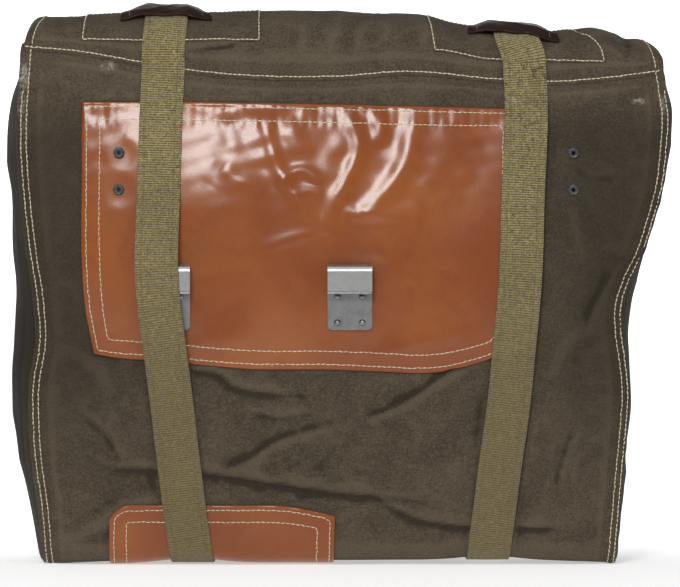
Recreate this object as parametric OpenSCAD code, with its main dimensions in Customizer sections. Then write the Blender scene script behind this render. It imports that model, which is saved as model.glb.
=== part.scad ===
// Canvas mail sack: a stuffed-shape bag with side gussets, a top flap, two encircling
// webbing straps and a pair of steel rail hooks on a leather panel.
// The carrier side, with the hooks, faces -Y. The outer side, with the buckles, faces +Y.

/* [Sack] */
// Width between the side seams at the mouth
mouth_w = 508; // [480:1:530]
// Width between the side seams at the bottom
bottom_w = 458; // [430:1:480]
// Height of the flap seam above the ground
seam_h = 400; // [380:1:420]
// Depth between the seams at the mouth
mouth_depth = 124; // [116:1:136]
// Depth between the seams at the bottom
bottom_depth = 112; // [104:1:124]
// How far each large panel swells out between its seams
panel_bulge = 26; // [16:1:28]
// How far each side gusset swells out
gusset_bulge = 12; // [4:1:16]
// How far the bottom is drawn up between its two feet
foot_lift = 7; // [6:0.5:10]
// Thickness of the canvas
canvas_t = 2; // [1.6:0.1:2.4]

/* [Flap] */
// Rise of the crown above the flap seam
crown_rise = 43; // [38:1:50]
// How far the crown sinks towards its right end
crown_sink = 14; // [0:1:18]
// Width of the flap
flap_w = 512; // [500:1:520]
// Length of the drop down the outer side
drop_len = 165; // [140:1:180]

/* [Leather] */
// Thickness of the leather
leather_t = 1.8; // [1.4:0.1:2.2]
// Height of the hook panel's top edge
hook_panel_top = 374; // [366:1:378]
// Height of the hook panel's lower corners
hook_panel_low = 174; // [166:1:180]

/* [Straps] */
// Width of the webbing
strap_w = 35; // [30:1:38]
// Thickness of the webbing
strap_t = 2.2; // [1.8:0.1:2.4]
// Distance of each strap from the middle, at the top
strap_x_top = 147; // [140:1:150]
// Distance of each strap from the middle, at the bottom
strap_x_bottom = 120; // [110:1:130]

/* [Rail hooks] */
// Width of a hook
hook_w = 36; // [34:1:38]
// Thickness of the hook's steel
hook_t = 1.5; // [1.2:0.1:1.8]
// Diameter of the rail that the hooks sit on
rail_d = 9; // [8:0.5:9.5]
// Height of the hook plate, up to the middle of its bend
hook_h = 47; // [44:1:50]
// Length of the hook's lip below the middle of its bend
lip_len = 17; // [14:1:18]
// Height of the hooks' lower edge above the ground
hook_z = 192; // [190:1:198]
// Place of the two hooks across the sack
hook_x = [-139, 8];

/* [Buckles] */
// Diameter of the buckle wire
wire_d = 4; // [3.6:0.1:4.4]
// Distance between the buckle's two cross bars
buckle_len = 28; // [26:1:32]
// Height of the buckle's hinge bar above the ground
buckle_z = 92; // [86:1:96]

/* [Hidden] */
$fn = 48;
gap = 0.3;
// Moves everything so that the origin lies under the middle of the object's box
centre_y = 4.7;
bend_r = 18;
run_gap = 0.08;
panel_top = seam_h - 3;
depth_swell = 6;
binding_w = 10;
binding_t = 3;
hinge_y = mouth_depth / 2 + 4;
flap_foot = seam_h + 1.5;
drop_out = 4;
drop_top = seam_h - 3;
drop_bottom = seam_h - drop_len;
patch_t = 1.5;
strap_gap = leather_t + 0.9;
over_patch = canvas_t + patch_t + 3 * gap;
keeper_t = 2.5;
keeper_w = 73;
patch_w = 145;
patch_x = 140;
// Face of the panel behind the hooks, and the plane that the hook plates stand on
hook_face = panel_y(0, hook_z + hook_h / 2);
hook_back = hook_face + gap + leather_t + gap;
hook_depth = rail_d + 2 * hook_t;
rivet_dx = 20;
rivet_dz = 21;
rivet_low = 6;
backing_t = 1.5;
bar_t = 4;
bar_w = 400;
bar_h = 58;
bar_x = 5;
bar_z = 319;
bar_rivet_dx = 184;
bar_rivet_dz = 30;
bar_end_x = bar_x + bar_w / 2;
bar_lean = atan((panel_y(bar_end_x, bar_z - bar_h / 2) - panel_y(bar_end_x, bar_z + bar_h / 2)) / bar_h);
bar_back = panel_y(bar_end_x, bar_z) - canvas_t - 1 - bar_t;
rivet_flange_r = 4.5;
rivet_tube_r = 2.8;
rivet_hole_r = 1.8;
wall_v = [-1, -0.75, -0.5, -0.25, 0, 0.12, 0.25, 0.4, 0.55, 0.7, 0.85, 1];
wall_s = [-1, -0.96, -0.9, -0.82, -0.7, -0.5, -0.25, 0, 0.25, 0.5, 0.7, 0.82, 0.9, 0.96, 1];
crown_a = [0, 3, 8, 16, 28, 44, 64, 90, 116, 136, 152, 164, 172, 177, 180];
wire_r = wire_d / 2;
loop_r = wire_r + run_gap;
stand_off = 2;
bar_off = strap_gap + strap_t + loop_r + stand_off;
bar_y = panel_y(strap_x(buckle_z), buckle_z) + bar_off;
frame_w = strap_w + 2 + wire_d;
frame_corner = 2.6;
roller_r = 3;
tongue_t = 2.4;
tail_y = panel_y(strap_x_top, drop_bottom) + drop_out + canvas_t + 2;
tail_top = drop_bottom - 4;
tail_bottom = buckle_z + buckle_len + 14;
tip_t = 0.8;
tip_h = 18;

canvas_colour = [0.27, 0.25, 0.20];
leather_colour = [0.55, 0.24, 0.11];
dark_leather = [0.20, 0.11, 0.09];
webbing_colour = [0.42, 0.38, 0.23];
steel_colour = [0.62, 0.62, 0.62];

// ---- The shape of the sack, as functions of place ----

function mix(a, b, t) = a + (b - a) * t;
function half_w(z) = mix(bottom_w, mouth_w, z / seam_h) / 2;
function seam_y(z) = mix(bottom_depth, mouth_depth, z / seam_h) / 2 + depth_swell * sin(180 * z / seam_h);
function swell(z) = panel_bulge * sin(180 * (z + 40) / (seam_h + 60));
function across(s) = 1 - pow(min(1, abs(s)), 6);
// Distance of a large panel's outer face from the middle plane
function panel_y(x, z) = seam_y(z) + swell(z) * across(x / half_w(z));
// Height of the bottom's underside, drawn up between the feet
function hem_z(x) = foot_lift * across(2 * x / bottom_w);

// A point of the wall at x, as [y, z]: v from 0 to 1 climbs the wall, and v from 0 to -1
// turns under it. out is the distance outside the canvas.
function wall(x, v, out) =
    let (foot = hem_z(x) + bend_r, z = mix(foot, panel_top, v), turn = -90 * v)
    v >= 0 ? [panel_y(x, z) + out, z]
           : [panel_y(x, foot) - bend_r + (bend_r + out) * cos(turn), foot - (bend_r + out) * sin(turn)];
function wall_at(x, z, out) = [panel_y(x, z) + out, z];
function level(z) = (z - bend_r) / (panel_top - bend_r);
function to_point(x, yz) = [x, yz[0], yz[1]];

function ease(t) = let (c = max(0, min(1, t))) c * c * (3 - 2 * c);
// A point of the flap's crown, as [y, z]: a from 0 at the flap seam to 180 at the drop
function crown(x, a, out) =
    let (middle_rise = crown_rise - crown_sink * ease((x + 40) / 200),
         rise = middle_rise * (1 - 0.35 * pow(min(1, abs(2 * x / flap_w)), 5)),
         back = panel_y(x, drop_top) + drop_out)
    [a < 90 ? -(hinge_y + out) * pow(cos(a), 0.65) : (back + out) * pow(abs(cos(a)), 0.65),
     flap_foot + (rise + out) * pow(sin(a), 0.65)];

function strap_x(z) = mix(strap_x_bottom, strap_x_top, sin(90 * min(1, z / 260)));
// How far the left strap is lifted by the hook under it
function over_hook(z) =
    (hook_depth + 2.6) * max(0, 1 - max(0, abs(z - hook_z - hook_h + 7) - 20) / 66);

// ---- Solids made from grids of points ----

function flat(grid) = [for (row = grid) for (p = row) p];

// A sheet with thickness, between an outer and an inner grid of the same size
module slab(outer, inner) {
    c = len(outer[0]);
    r = len(outer);
    n = r * c;
    polyhedron(points = concat(flat(outer), flat(inner)), faces = [
        for (i = [0 : r - 2], j = [0 : c - 2]) each let (k = i * c + j)
            [[k, k + 1, k + c + 1], [k, k + c + 1, k + c],
             [n + k, n + k + c + 1, n + k + 1], [n + k, n + k + c, n + k + c + 1]],
        for (j = [0 : c - 2]) each let (k = (r - 1) * c + j)
            [[j + 1, j, n + j], [j + 1, n + j, n + j + 1],
             [k, k + 1, n + k + 1], [k, n + k + 1, n + k]],
        for (i = [0 : r - 2]) each let (k = i * c, m = i * c + c - 1)
            [[k, k + c, n + k + c], [k, n + k + c, n + k],
             [m + c, m, n + m], [m + c, n + m, n + m + c]]]);
}

// A strap swept through rings of four corners
module band(rings) {
    last = 4 * (len(rings) - 1);
    polyhedron(points = flat(rings), faces = concat(
        [[0, 1, 2], [0, 2, 3], [last, last + 2, last + 1], [last, last + 3, last + 2]],
        [for (i = [0 : len(rings) - 2], j = [0 : 3]) each let (k = 4 * i, q = (j + 1) % 4)
            [[k + j, k + 4 + j, k + 4 + q], [k + j, k + 4 + q, k + q]]]));
}

// Turns what was drawn on the outer side round to the carrier side
module carrier_side() {
    mirror([0, 1, 0]) children();
}

module placed() {
    translate([0, centre_y, 0]) children();
}

module mirrored(side) {
    if (side < 0) mirror([1, 0, 0]) children();
    else children();
}

// ---- Canvas ----

module large_panel() {
    grid = function (out) [for (v = wall_v) [for (s = wall_s)
        let (z = mix(bend_r, panel_top, max(0, v)), x = s * half_w(z)) to_point(x, wall(x, v, out))]];
    color(canvas_colour) slab(grid(0), grid(-canvas_t));
}

module bottom_panel() {
    edge = function (x) panel_y(x, hem_z(x) + bend_r) - bend_r - gap;
    grid = function (out) [for (s = wall_s)
        let (x = s * bottom_w / 2) [for (q = [-1 : 0.5 : 1]) [x, q * edge(x), hem_z(x) - out]]];
    color(canvas_colour) slab(grid(0), grid(-canvas_t));
}

module gusset() {
    low = 5;
    inner_r = bend_r - canvas_t - 0.8;
    edge = function (z) min(seam_y(z) - bend_r + inner_r,
        seam_y(bend_r) - bend_r + sqrt(pow(inner_r, 2) - pow(max(0, bend_r - z), 2)));
    grid = function (out) [for (i = [0 : 10]) let (z = mix(low, panel_top - 2, i / 10))
        [for (q = [-1 : 0.25 : 1])
            [half_w(z) - 0.2 + gusset_bulge * sin(180 * i / 10) * (1 - q * q) + out, -q * edge(z), z]]];
    color(canvas_colour) slab(grid(0), grid(-canvas_t));
}

// The taped seam that runs down one side, under the gusset and up the other side
module binding() {
    ring = function (side, v) let (z = mix(bend_r, panel_top, max(0, v)), x = half_w(z),
            a = wall(x, v, 0), b = wall(x, v, -binding_t))
        [[x + gap, side * a[0], a[1]], [x + binding_w, side * a[0], a[1]],
         [x + binding_w, side * b[0], b[1]], [x + gap, side * b[0], b[1]]];
    down = [for (i = [len(wall_v) - 1 : -1 : 0]) ring(-1, wall_v[i])];
    up = [for (v = wall_v) ring(1, v)];
    color(canvas_colour) band(concat(down, up));
}

// ---- Leather on the carrier side ----

// The hook panel: a four-sided piece whose lower edge sags between its corners
module hook_panel() {
    left_top = -206;
    left_low = -196;
    right_top = 132;
    right_low = 120;
    sag = 14;
    grid = function (out) [for (j = [0 : 10]) [for (i = [0 : 18])
        let (u = i / 18, v = j / 10,
             x = mix(mix(left_low, left_top, v), mix(right_low, right_top, v), u),
             z = mix(hook_panel_low - sag * sqrt(sin(180 * u)), hook_panel_top, v))
        to_point(x, wall_at(x, z, out))]];
    color(leather_colour) carrier_side() slab(grid(gap + leather_t), grid(gap));
}

// The wear patch at the foot, which turns under the bottom
module bottom_patch() {
    left = -187;
    right = -5;
    v_top = level(46);
    grid = function (out) [for (v = [-1, -0.75, -0.5, -0.25, 0, v_top / 2, v_top]) [for (i = [0 : 10])
        let (x = mix(left, right, i / 10)) to_point(x, wall(x, v, out))]];
    color(leather_colour) carrier_side() slab(grid(gap + leather_t), grid(gap));
}

// ---- Rail hooks and their fastenings ----

module rivet_places() {
    for (dx = [-0.5, 0.5], dz = [0, 1])
        translate([dx * rivet_dx, 0, rivet_low + dz * rivet_dz]) rotate([-90, 0, 0]) children();
}

// The J-shaped section of a hook, drawn with the wall on its left
module hook_section() {
    bend_x = hook_t + rail_d / 2;
    square([hook_t, hook_h]);
    translate([hook_t + rail_d, hook_h - lip_len]) square([hook_t, lip_len]);
    translate([hook_t + rail_d + hook_t * 0.6, hook_h - lip_len]) circle(hook_t * 0.6);
    difference() {
        translate([bend_x, hook_h]) circle(rail_d / 2 + hook_t);
        translate([bend_x, hook_h]) circle(rail_d / 2);
        translate([0, hook_h - 2 * rail_d]) square([3 * rail_d, 2 * rail_d]);
    }
}

module hook_outline() {
    corner = 4;
    translate([-hook_w / 2 + corner, 0]) square([hook_w - 2 * corner, corner]);
    translate([-hook_w / 2, corner]) square([hook_w, hook_h + rail_d]);
    for (x = [-1, 1]) translate([x * (hook_w / 2 - corner), corner]) circle(corner);
}

module hook(x) {
    color(steel_colour) carrier_side() translate([x, hook_back, hook_z]) difference() {
        intersection() {
            translate([-hook_w / 2, 0, 0]) rotate([90, 0, 90]) linear_extrude(hook_w) hook_section();
            translate([0, 3 * rail_d, 0]) rotate([90, 0, 0]) linear_extrude(4 * rail_d) hook_outline();
        }
        rivet_places() translate([0, 0, -1]) cylinder(r = 1.8, h = hook_t + 2);
    }
}

module hook_rivets(x) {
    shank = hook_back + hook_t - hook_face + canvas_t + 4.5;
    color(steel_colour) carrier_side() translate([x, hook_back + hook_t, hook_z]) rivet_places() {
        difference() {
            translate([0, 0, -1.4]) sphere(r = 3.1);
            translate([-5, -5, -10]) cube([10, 10, 10]);
        }
        translate([0, 0, -shank]) cylinder(r = 1.7, h = shank + 0.2);
        translate([0, 0, -shank - 1]) cylinder(r = 2.8, h = 1);
    }
}

module hook_backing(x) {
    plate_w = 32;
    plate_h = 33;
    back = hook_face - canvas_t - 4.4;
    color(steel_colour) carrier_side() difference() {
        translate([x - plate_w / 2, back, hook_z]) cube([plate_w, backing_t, plate_h]);
        translate([x, back - 1, hook_z]) rivet_places() cylinder(r = 1.8, h = backing_t + 2);
    }
}

// ---- The stiffener inside the carrier panel ----

// Puts what is drawn round the bar's middle, with its back face on the XZ plane, in place
module on_bar() {
    carrier_side() translate([bar_x, bar_back, bar_z]) rotate([bar_lean, 0, 0]) children();
}

module bar_rivet_pair(side) {
    for (dz = [-0.5, 0.5]) translate([side * bar_rivet_dx, 0, dz * bar_rivet_dz])
        rotate([-90, 0, 0]) children();
}

module stiffener_bar() {
    corner = 8;
    color([0.55, 0.42, 0.27]) on_bar() difference() {
        union() {
            translate([-bar_w / 2, 0, corner - bar_h / 2]) cube([bar_w, bar_t, bar_h - 2 * corner]);
            translate([corner - bar_w / 2, 0, -bar_h / 2]) cube([bar_w - 2 * corner, bar_t, bar_h]);
            for (x = [-1, 1], z = [-1, 1])
                translate([x * (bar_w / 2 - corner), 0, z * (bar_h / 2 - corner)])
                    rotate([-90, 0, 0]) cylinder(r = corner, h = bar_t);
        }
        for (side = [-1, 1]) bar_rivet_pair(side)
            translate([0, 0, -1]) cylinder(r = rivet_tube_r + 0.1, h = bar_t + 2);
    }
}

// Two tubular rivets through the canvas and the bar; cover is what lies on the canvas there
module bar_rivets(side, cover) {
    rolled = 1;
    x = bar_x + side * bar_rivet_dx;
    face = panel_y(x, bar_z) - bar_back + cover + 2 * gap;
    color([0.25, 0.26, 0.26]) on_bar() bar_rivet_pair(side) difference() {
        union() {
            translate([0, 0, face]) cylinder(r = rivet_flange_r, h = 0.8);
            translate([0, 0, face + 0.8]) rotate_extrude()
                translate([rivet_flange_r - rolled - 0.1, 0]) circle(rolled);
            cylinder(r = rivet_tube_r, h = face + 0.4);
            translate([0, 0, -1]) cylinder(r = rivet_flange_r, h = 1);
        }
        translate([0, 0, -3]) cylinder(r = rivet_hole_r, h = face + 8);
    }
}

// ---- Webbing ----

// One strap's ring at x: the webbing lies out to out + strap_t outside the canvas
function strap_ring(side, x, v, out, z = undef) =
    let (a = x - strap_w / 2, b = x + strap_w / 2, at = function (e, o)
            is_undef(z) ? wall(e, v, o) : wall_at(e, z, o),
         p = at(a, out + strap_t), q = at(b, out + strap_t), r = at(b, out), s = at(a, out))
    [[a, side * p[0], p[1]], [b, side * q[0], q[1]], [b, side * r[0], r[1]], [a, side * s[0], s[1]]];

// The strap from the flap seam down the carrier side, under the bottom and up to the buckle
module strap(side, hooked) {
    top = seam_h - 6;
    steps = 36;
    climb = buckle_z - loop_r - strap_t;
    down = [for (i = [0 : steps]) let (z = mix(top, bend_r + foot_lift, i / steps))
        strap_ring(-1, strap_x(z), 0, strap_gap + (hooked ? over_hook(z) : 0), z)];
    under = [for (v = [-0.25, -0.5, -0.75, -1]) strap_ring(-1, strap_x_bottom, v, strap_gap)];
    out_again = [for (v = [-1, -0.75, -0.5, -0.25]) strap_ring(1, strap_x_bottom, v, strap_gap)];
    up = [for (i = [0 : 5]) let (z = mix(bend_r + foot_lift, climb, i / 5))
        strap_ring(1, strap_x(z), 0, strap_gap, z)];
    color(webbing_colour) mirrored(side) band(concat(down, under, out_again, up));
}

// The sewn loop that holds the buckle's hinge bar, slit for the tongue. Its outer leg comes
// back down onto the strap.
module chape(side) {
    fold_len = 34;
    landing = -14;
    slit = 7;
    rest = gap + 0.2 - loop_r - stand_off;
    lean = atan((panel_y(strap_x_top, buckle_z) - panel_y(strap_x_top, buckle_z - fold_len)) / fold_len);
    color(webbing_colour) translate([side * strap_x(buckle_z), bar_y, buckle_z]) difference() {
        rotate([-lean, 0, 0]) translate([-strap_w / 2, 0, 0]) rotate([90, 0, 90]) difference() {
            union() {
                cylinder(r = loop_r + strap_t, h = strap_w);
                linear_extrude(strap_w) polygon([[loop_r + 1, 0], [loop_r + strap_t - 0.2, -0.5],
                    [rest + strap_t, landing], [rest + strap_t, -fold_len],
                    [rest, -fold_len], [rest, landing]]);
            }
            translate([0, 0, -1]) cylinder(r = loop_r, h = strap_w + 2);
        }
        translate([-slit / 2, -20, landing + 1]) cube([slit, 40, 27]);
    }
}

// ---- Buckles ----

module cross_rod(length, r) {
    translate([-length / 2, 0, 0]) rotate([0, 90, 0]) cylinder(r = r, h = length);
}

// A rectangular wire frame with round corners, standing up from its hinge bar
module buckle(side) {
    half = frame_w / 2;
    color(steel_colour) translate([side * strap_x(buckle_z), bar_y, buckle_z]) {
        for (z = [0, buckle_len]) translate([0, 0, z]) cross_rod(frame_w - 2 * frame_corner, wire_r);
        for (x = [-half, half]) translate([x, 0, frame_corner])
            cylinder(r = wire_r, h = buckle_len - 2 * frame_corner);
        for (k = [0 : 3]) {
            x = (k == 0 || k == 3 ? 1 : -1) * (half - frame_corner);
            z = k < 2 ? buckle_len - frame_corner : frame_corner;
            translate([x, 0, z]) rotate([90, 0, 0]) rotate([0, 0, 90 * k])
                rotate_extrude(angle = 90) translate([frame_corner, 0]) circle(wire_r);
        }
    }
}

module roller(side) {
    length = frame_w - 2 * frame_corner - 1;
    color(steel_colour) translate([side * strap_x(buckle_z), bar_y, buckle_z + buckle_len]) difference() {
        cross_rod(length, roller_r);
        cross_rod(length + 2, wire_r + run_gap);
    }
}

// The prong: an eye round the hinge bar and a tip that rests on the roller
module tongue(side) {
    w = 5;
    eye_r = wire_r + 1.8;
    rest = roller_r + gap;
    color(steel_colour) translate([side * strap_x(buckle_z), bar_y, buckle_z]) difference() {
        union() {
            cross_rod(w, eye_r);
            translate([-w / 2, rest, 0]) cube([w, tongue_t, buckle_len + 5]);
            translate([-w / 2, 0, 0]) cube([w, rest + tongue_t, 3]);
            translate([0, rest + tongue_t / 2, buckle_len + 5]) cross_rod(w, tongue_t / 2);
        }
        cross_rod(w + 2, wire_r + run_gap);
    }
}

// ---- Flap ----

module flap_crown() {
    grid = function (out) [for (a = crown_a) [for (s = wall_s)
        let (x = s * flap_w / 2) to_point(x, crown(x, a, out))]];
    color(canvas_colour) slab(grid(canvas_t), grid(0));
}

module flap_drop() {
    grid = function (out) [for (j = [0 : 8]) [for (s = wall_s)
        let (x = s * (flap_w / 2 - 1), z = mix(drop_bottom, drop_top, j / 8))
        to_point(x, wall_at(x, z, out))]];
    color(canvas_colour) slab(grid(drop_out + canvas_t), grid(drop_out));
}

// A sheet on the flap's crown, from angle a0 to a1, across a width
module on_crown(x, w, a0, a1, columns, out, t, lift = function (u) 0) {
    rows = ceil((a1 - a0) / 6);
    grid = function (o) [for (j = [0 : rows]) [for (i = [0 : columns])
        let (u = mix(-1, 1, i / columns), px = x + u * w / 2)
        to_point(px, crown(px, mix(a0, a1, j / rows), o + lift(u)))]];
    slab(grid(out + t), grid(out));
}

module patch(side) {
    color(canvas_colour) on_crown(side * patch_x, patch_w, 22, 78, 8, canvas_t + gap, patch_t);
}

module strap_top(side) {
    color(webbing_colour) on_crown(side * strap_x_top, strap_w, 6, 175, 2, over_patch, strap_t);
}

// The leather loop that the strap runs through, arched over it
module keeper(side) {
    arch = function (u) (strap_t + gap) * min(1, max(0, (1 - abs(u)) * 2.8));
    color(dark_leather) on_crown(side * (strap_x_top - 3), keeper_w, 38, 70, 16, over_patch, keeper_t, arch);
}

module strap_drop(side) {
    out = drop_out + canvas_t + gap;
    rings = [for (j = [0 : 8]) strap_ring(1, strap_x_top, 0, out, mix(drop_top - 3, drop_bottom + 1, j / 8))];
    color(webbing_colour) mirrored(side) band(rings);
}

// The free end of the strap, and its folded metal tip
module tail(side) {
    color(webbing_colour) translate([side * strap_x_top - strap_w / 2, tail_y, tail_bottom])
        cube([strap_w, strap_t, tail_top - tail_bottom]);
}

module strap_tip(side) {
    w = strap_w + 2;
    t = strap_t + 2 * tip_t + 0.2;
    at = [side * strap_x_top, tail_y - tip_t - 0.1, tail_bottom - tip_t - 0.1];
    color(steel_colour) translate(at) difference() {
        translate([-w / 2, 0, 0]) cube([w, t, tip_h]);
        translate([-strap_w / 2 - 0.1, tip_t, tip_t]) cube([strap_w + 0.2, strap_t + 0.2, tip_h]);
        for (x = [-1, 1]) translate([x * w / 2, -1, 0]) rotate([0, 45, 0])
            translate([-2, 0, -2]) cube([4, t + 2, 4]);
    }
}

// ---- Every node ----

placed() carrier_side() large_panel();  // carrier_panel
placed() large_panel();  // outer_panel
placed() bottom_panel();
placed() mirror([1, 0, 0]) gusset();  // left_gusset
placed() gusset();  // right_gusset
placed() mirror([1, 0, 0]) binding();  // left_binding
placed() binding();  // right_binding
placed() hook_panel();
placed() bottom_patch();
placed() hook(hook_x[0]);  // left_hook
placed() hook(hook_x[1]);  // right_hook
placed() hook_rivets(hook_x[0]);  // left_hook_rivets
placed() hook_rivets(hook_x[1]);  // right_hook_rivets
placed() hook_backing(hook_x[0]);  // left_hook_backing
placed() hook_backing(hook_x[1]);  // right_hook_backing
placed() stiffener_bar();
placed() bar_rivets(-1, leather_t);  // left_bar_rivets
placed() bar_rivets(1, 0);  // right_bar_rivets
placed() strap(-1, true);  // left_strap
placed() strap(1, false);  // right_strap
placed() chape(-1);  // left_chape
placed() chape(1);  // right_chape
placed() buckle(-1);  // left_buckle
placed() buckle(1);  // right_buckle
placed() roller(-1);  // left_roller
placed() roller(1);  // right_roller
placed() tongue(-1);  // left_tongue
placed() tongue(1);  // right_tongue
placed() flap_crown();
placed() patch(-1);  // left_patch
placed() patch(1);  // right_patch
placed() strap_top(-1);  // left_strap_top
placed() strap_top(1);  // right_strap_top
placed() keeper(-1);  // left_keeper
placed() keeper(1);  // right_keeper
placed() flap_drop();
placed() strap_drop(-1);  // left_strap_drop
placed() strap_drop(1);  // right_strap_drop
placed() tail(-1);  // left_tail
placed() tail(1);  // right_tail
placed() strap_tip(-1);  // left_strap_tip
placed() strap_tip(1);  // right_strap_tip
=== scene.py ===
import math

import bpy
import numpy as np
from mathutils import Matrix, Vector


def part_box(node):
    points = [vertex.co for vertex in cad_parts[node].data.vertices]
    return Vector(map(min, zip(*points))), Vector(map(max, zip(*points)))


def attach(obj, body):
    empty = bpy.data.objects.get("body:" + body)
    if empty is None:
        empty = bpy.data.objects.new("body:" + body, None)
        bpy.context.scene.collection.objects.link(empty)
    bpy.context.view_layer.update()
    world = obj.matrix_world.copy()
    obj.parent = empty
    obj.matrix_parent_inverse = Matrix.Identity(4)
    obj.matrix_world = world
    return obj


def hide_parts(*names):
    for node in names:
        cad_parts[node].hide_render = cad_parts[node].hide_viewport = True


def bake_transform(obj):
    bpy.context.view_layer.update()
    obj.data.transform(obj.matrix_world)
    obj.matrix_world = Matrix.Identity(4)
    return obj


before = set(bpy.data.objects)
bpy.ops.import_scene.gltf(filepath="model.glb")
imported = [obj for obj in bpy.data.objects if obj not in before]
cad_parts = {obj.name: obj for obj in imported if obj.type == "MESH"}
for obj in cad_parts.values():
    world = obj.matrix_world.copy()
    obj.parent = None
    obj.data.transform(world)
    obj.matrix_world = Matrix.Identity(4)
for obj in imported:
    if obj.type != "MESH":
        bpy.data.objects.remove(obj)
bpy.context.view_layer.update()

bl_info = {
    "name": "Canvas mail sack",
    "version": (1, 0, 0),
    "blender": (4, 5, 0),
    "location": "View3D > Sidebar > Mail sack",
    "description": "Makes a flap-top canvas mail sack round its packed frame, piece by piece",
    "category": "Mesh",
}

# Shapes are worked out in millimetres and made into meshes in metres.
MM = 0.001


def middle(node):
    """The middle of a CAD node's box, in millimetres."""
    return np.mean(np.array(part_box(node)), axis=0) / MM


# The plane halfway between the sack's two sides, and the places of its hardware.
CENTRE_Y = middle("bottom_panel")[1]
HOOKS = [middle(f"{side}_hook") for side in ("left", "right")]
BAR_RIVETS = [(middle(f"{side}_bar_rivets")[0], middle(f"{side}_bar_rivets")[2] + dz)
              for side in ("left", "right") for dz in (-14.9, 14.9)]
BUCKLE = middle("right_buckle")
BAR_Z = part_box("right_buckle")[0][2] / MM + 2.0
TAIL_Y = middle("right_tail")[1]
TAIL_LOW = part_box("right_tail")[0][2] / MM
BAG_TOP, BEND, FOLD_Z = 397.0, 18.0, 406.0
STRAP_T = 2.2


# ---------------------------------------------------------------- curves and reliefs


def ease(t):
    """0 below 0, 1 above 1, and a smooth step between."""
    t = np.clip(t, 0, 1)
    return t * t * (3 - 2 * t)


def bell(t):
    """A smooth hump of height 1 and half-width 1."""
    return np.exp(-t * t)


def through(stations, t):
    """A smooth curve through (place, value) stations: a cubic between each two, whose slope
    at a station is that between its neighbours."""
    place, value = np.array(stations, float).T
    slope = np.gradient(value, place)
    t = np.clip(t, place[0], place[-1])
    i = np.clip(np.searchsorted(place, t) - 1, 0, len(place) - 2)
    w = place[i + 1] - place[i]
    s = (t - place[i]) / w
    return ((2 * s**3 - 3 * s**2 + 1) * value[i] + (s**3 - 2 * s**2 + s) * w * slope[i]
            + (3 * s**2 - 2 * s**3) * value[i + 1] + (s**3 - s**2) * w * slope[i + 1])


def run(points, count=24):
    """A smooth line of count points through a few (x, z) points."""
    points = np.array(points, float)
    t = np.arange(len(points))
    u = np.linspace(0, len(points) - 1, count)
    return np.stack([through(np.stack([t, points[:, k]], 1), u) for k in range(points.shape[1])], 1)


def beside(x, z, points):
    """How far each (x, z) is from a line, with a sign for its side, and how far along it lies,
    from 0 to 1: the nearest of the line's short straight parts counts."""
    line = run(points)
    best = np.full(np.shape(x), 1e9)
    side, along = np.zeros(np.shape(x)), np.zeros(np.shape(x))
    for k in range(len(line) - 1):
        (ax, az), (bx, bz) = line[k], line[k + 1]
        dx, dz = bx - ax, bz - az
        size = dx * dx + dz * dz
        s = np.clip(((x - ax) * dx + (z - az) * dz) / size, 0, 1)
        gap = np.hypot(x - ax - s * dx, z - az - s * dz)
        nearer = gap < best
        best = np.where(nearer, gap, best)
        side = np.where(nearer, np.sign(dx * (z - az) - dz * (x - ax)), side)
        along = np.where(nearer, (k + s) / (len(line) - 1), along)
    return best * side, along


def ridge(x, z, points, height, width, sharp=1.0):
    """A raised fold along a line: a hump across it that fades out at both ends."""
    off, along = beside(x, z, points)
    return height * np.exp(-(np.abs(off) / width) ** (2 * sharp)) * np.sin(np.pi * along) ** 0.6


def crease(x, z, points, height, width):
    """A fold that overhangs a line: high on its left, low on its right, fading to each side."""
    off, along = beside(x, z, points)
    fade = np.sin(np.pi * along) ** 0.6 * (0.75 + 0.25 * ripple(x, z, 7, 45))
    return height * np.tanh(off / (0.13 * width)) * bell(off / width) * fade


def folded(h, x, z, folds):
    """A height with folds added to it. Each is a crease or a ridge, its height, its width and the
    points of its line."""
    for fold, height, width, points in folds:
        h = h + fold(x, z, points, height, width)
    return h


def ripple(x, z, seed, length, waves=9):
    """Gentle unevenness: a sum of sine waves of about one length, in seeded directions."""
    rng = np.random.default_rng(seed)
    total = 0.0
    for _ in range(waves):
        turn, phase, k = rng.uniform(0, 2 * np.pi), rng.uniform(0, 2 * np.pi), rng.uniform(0.7, 1.4)
        total = total + np.sin(2 * np.pi * k * (x * np.cos(turn) + z * np.sin(turn)) / length + phase)
    return total / math.sqrt(waves)


def rumple(x, z, seed, length):
    """Unevenness with small creases: thin crests where two warped ripples cross zero."""
    wx = x + 0.25 * length * ripple(x, z, seed + 1, 1.7 * length)
    wz = z + 0.25 * length * ripple(x, z, seed + 2, 1.7 * length)
    return 1 - 2 * np.minimum(1, np.abs(ripple(wx, wz, seed + 3, length, 5)))


class Relief:
    """A height worked out once on a fine lattice, and read between its points."""
    LEFT, RIGHT, LOW, HIGH, STEP = -290, 291, -60, 461, 1.6

    def __init__(self, height):
        columns = np.arange(self.LEFT, self.RIGHT, self.STEP)
        rows = np.arange(self.LOW, self.HIGH, self.STEP)
        self.table = height(*np.meshgrid(columns, rows, indexing="ij"))

    def __call__(self, x, z):
        u, v = (x - self.LEFT) / self.STEP, (z - self.LOW) / self.STEP
        i = np.clip(np.floor(u).astype(int), 0, self.table.shape[0] - 2)
        j = np.clip(np.floor(v).astype(int), 0, self.table.shape[1] - 2)
        a, b = np.clip(u - i, 0, 1), np.clip(v - j, 0, 1)
        a = ease(a) * 0.3 + 0.7 * a
        t = self.table
        return ((1 - a) * (1 - b) * t[i, j] + a * (1 - b) * t[i + 1, j]
                + (1 - a) * b * t[i, j + 1] + a * b * t[i + 1, j + 1])


# ---------------------------------------------------------------- the sack's shape

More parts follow.
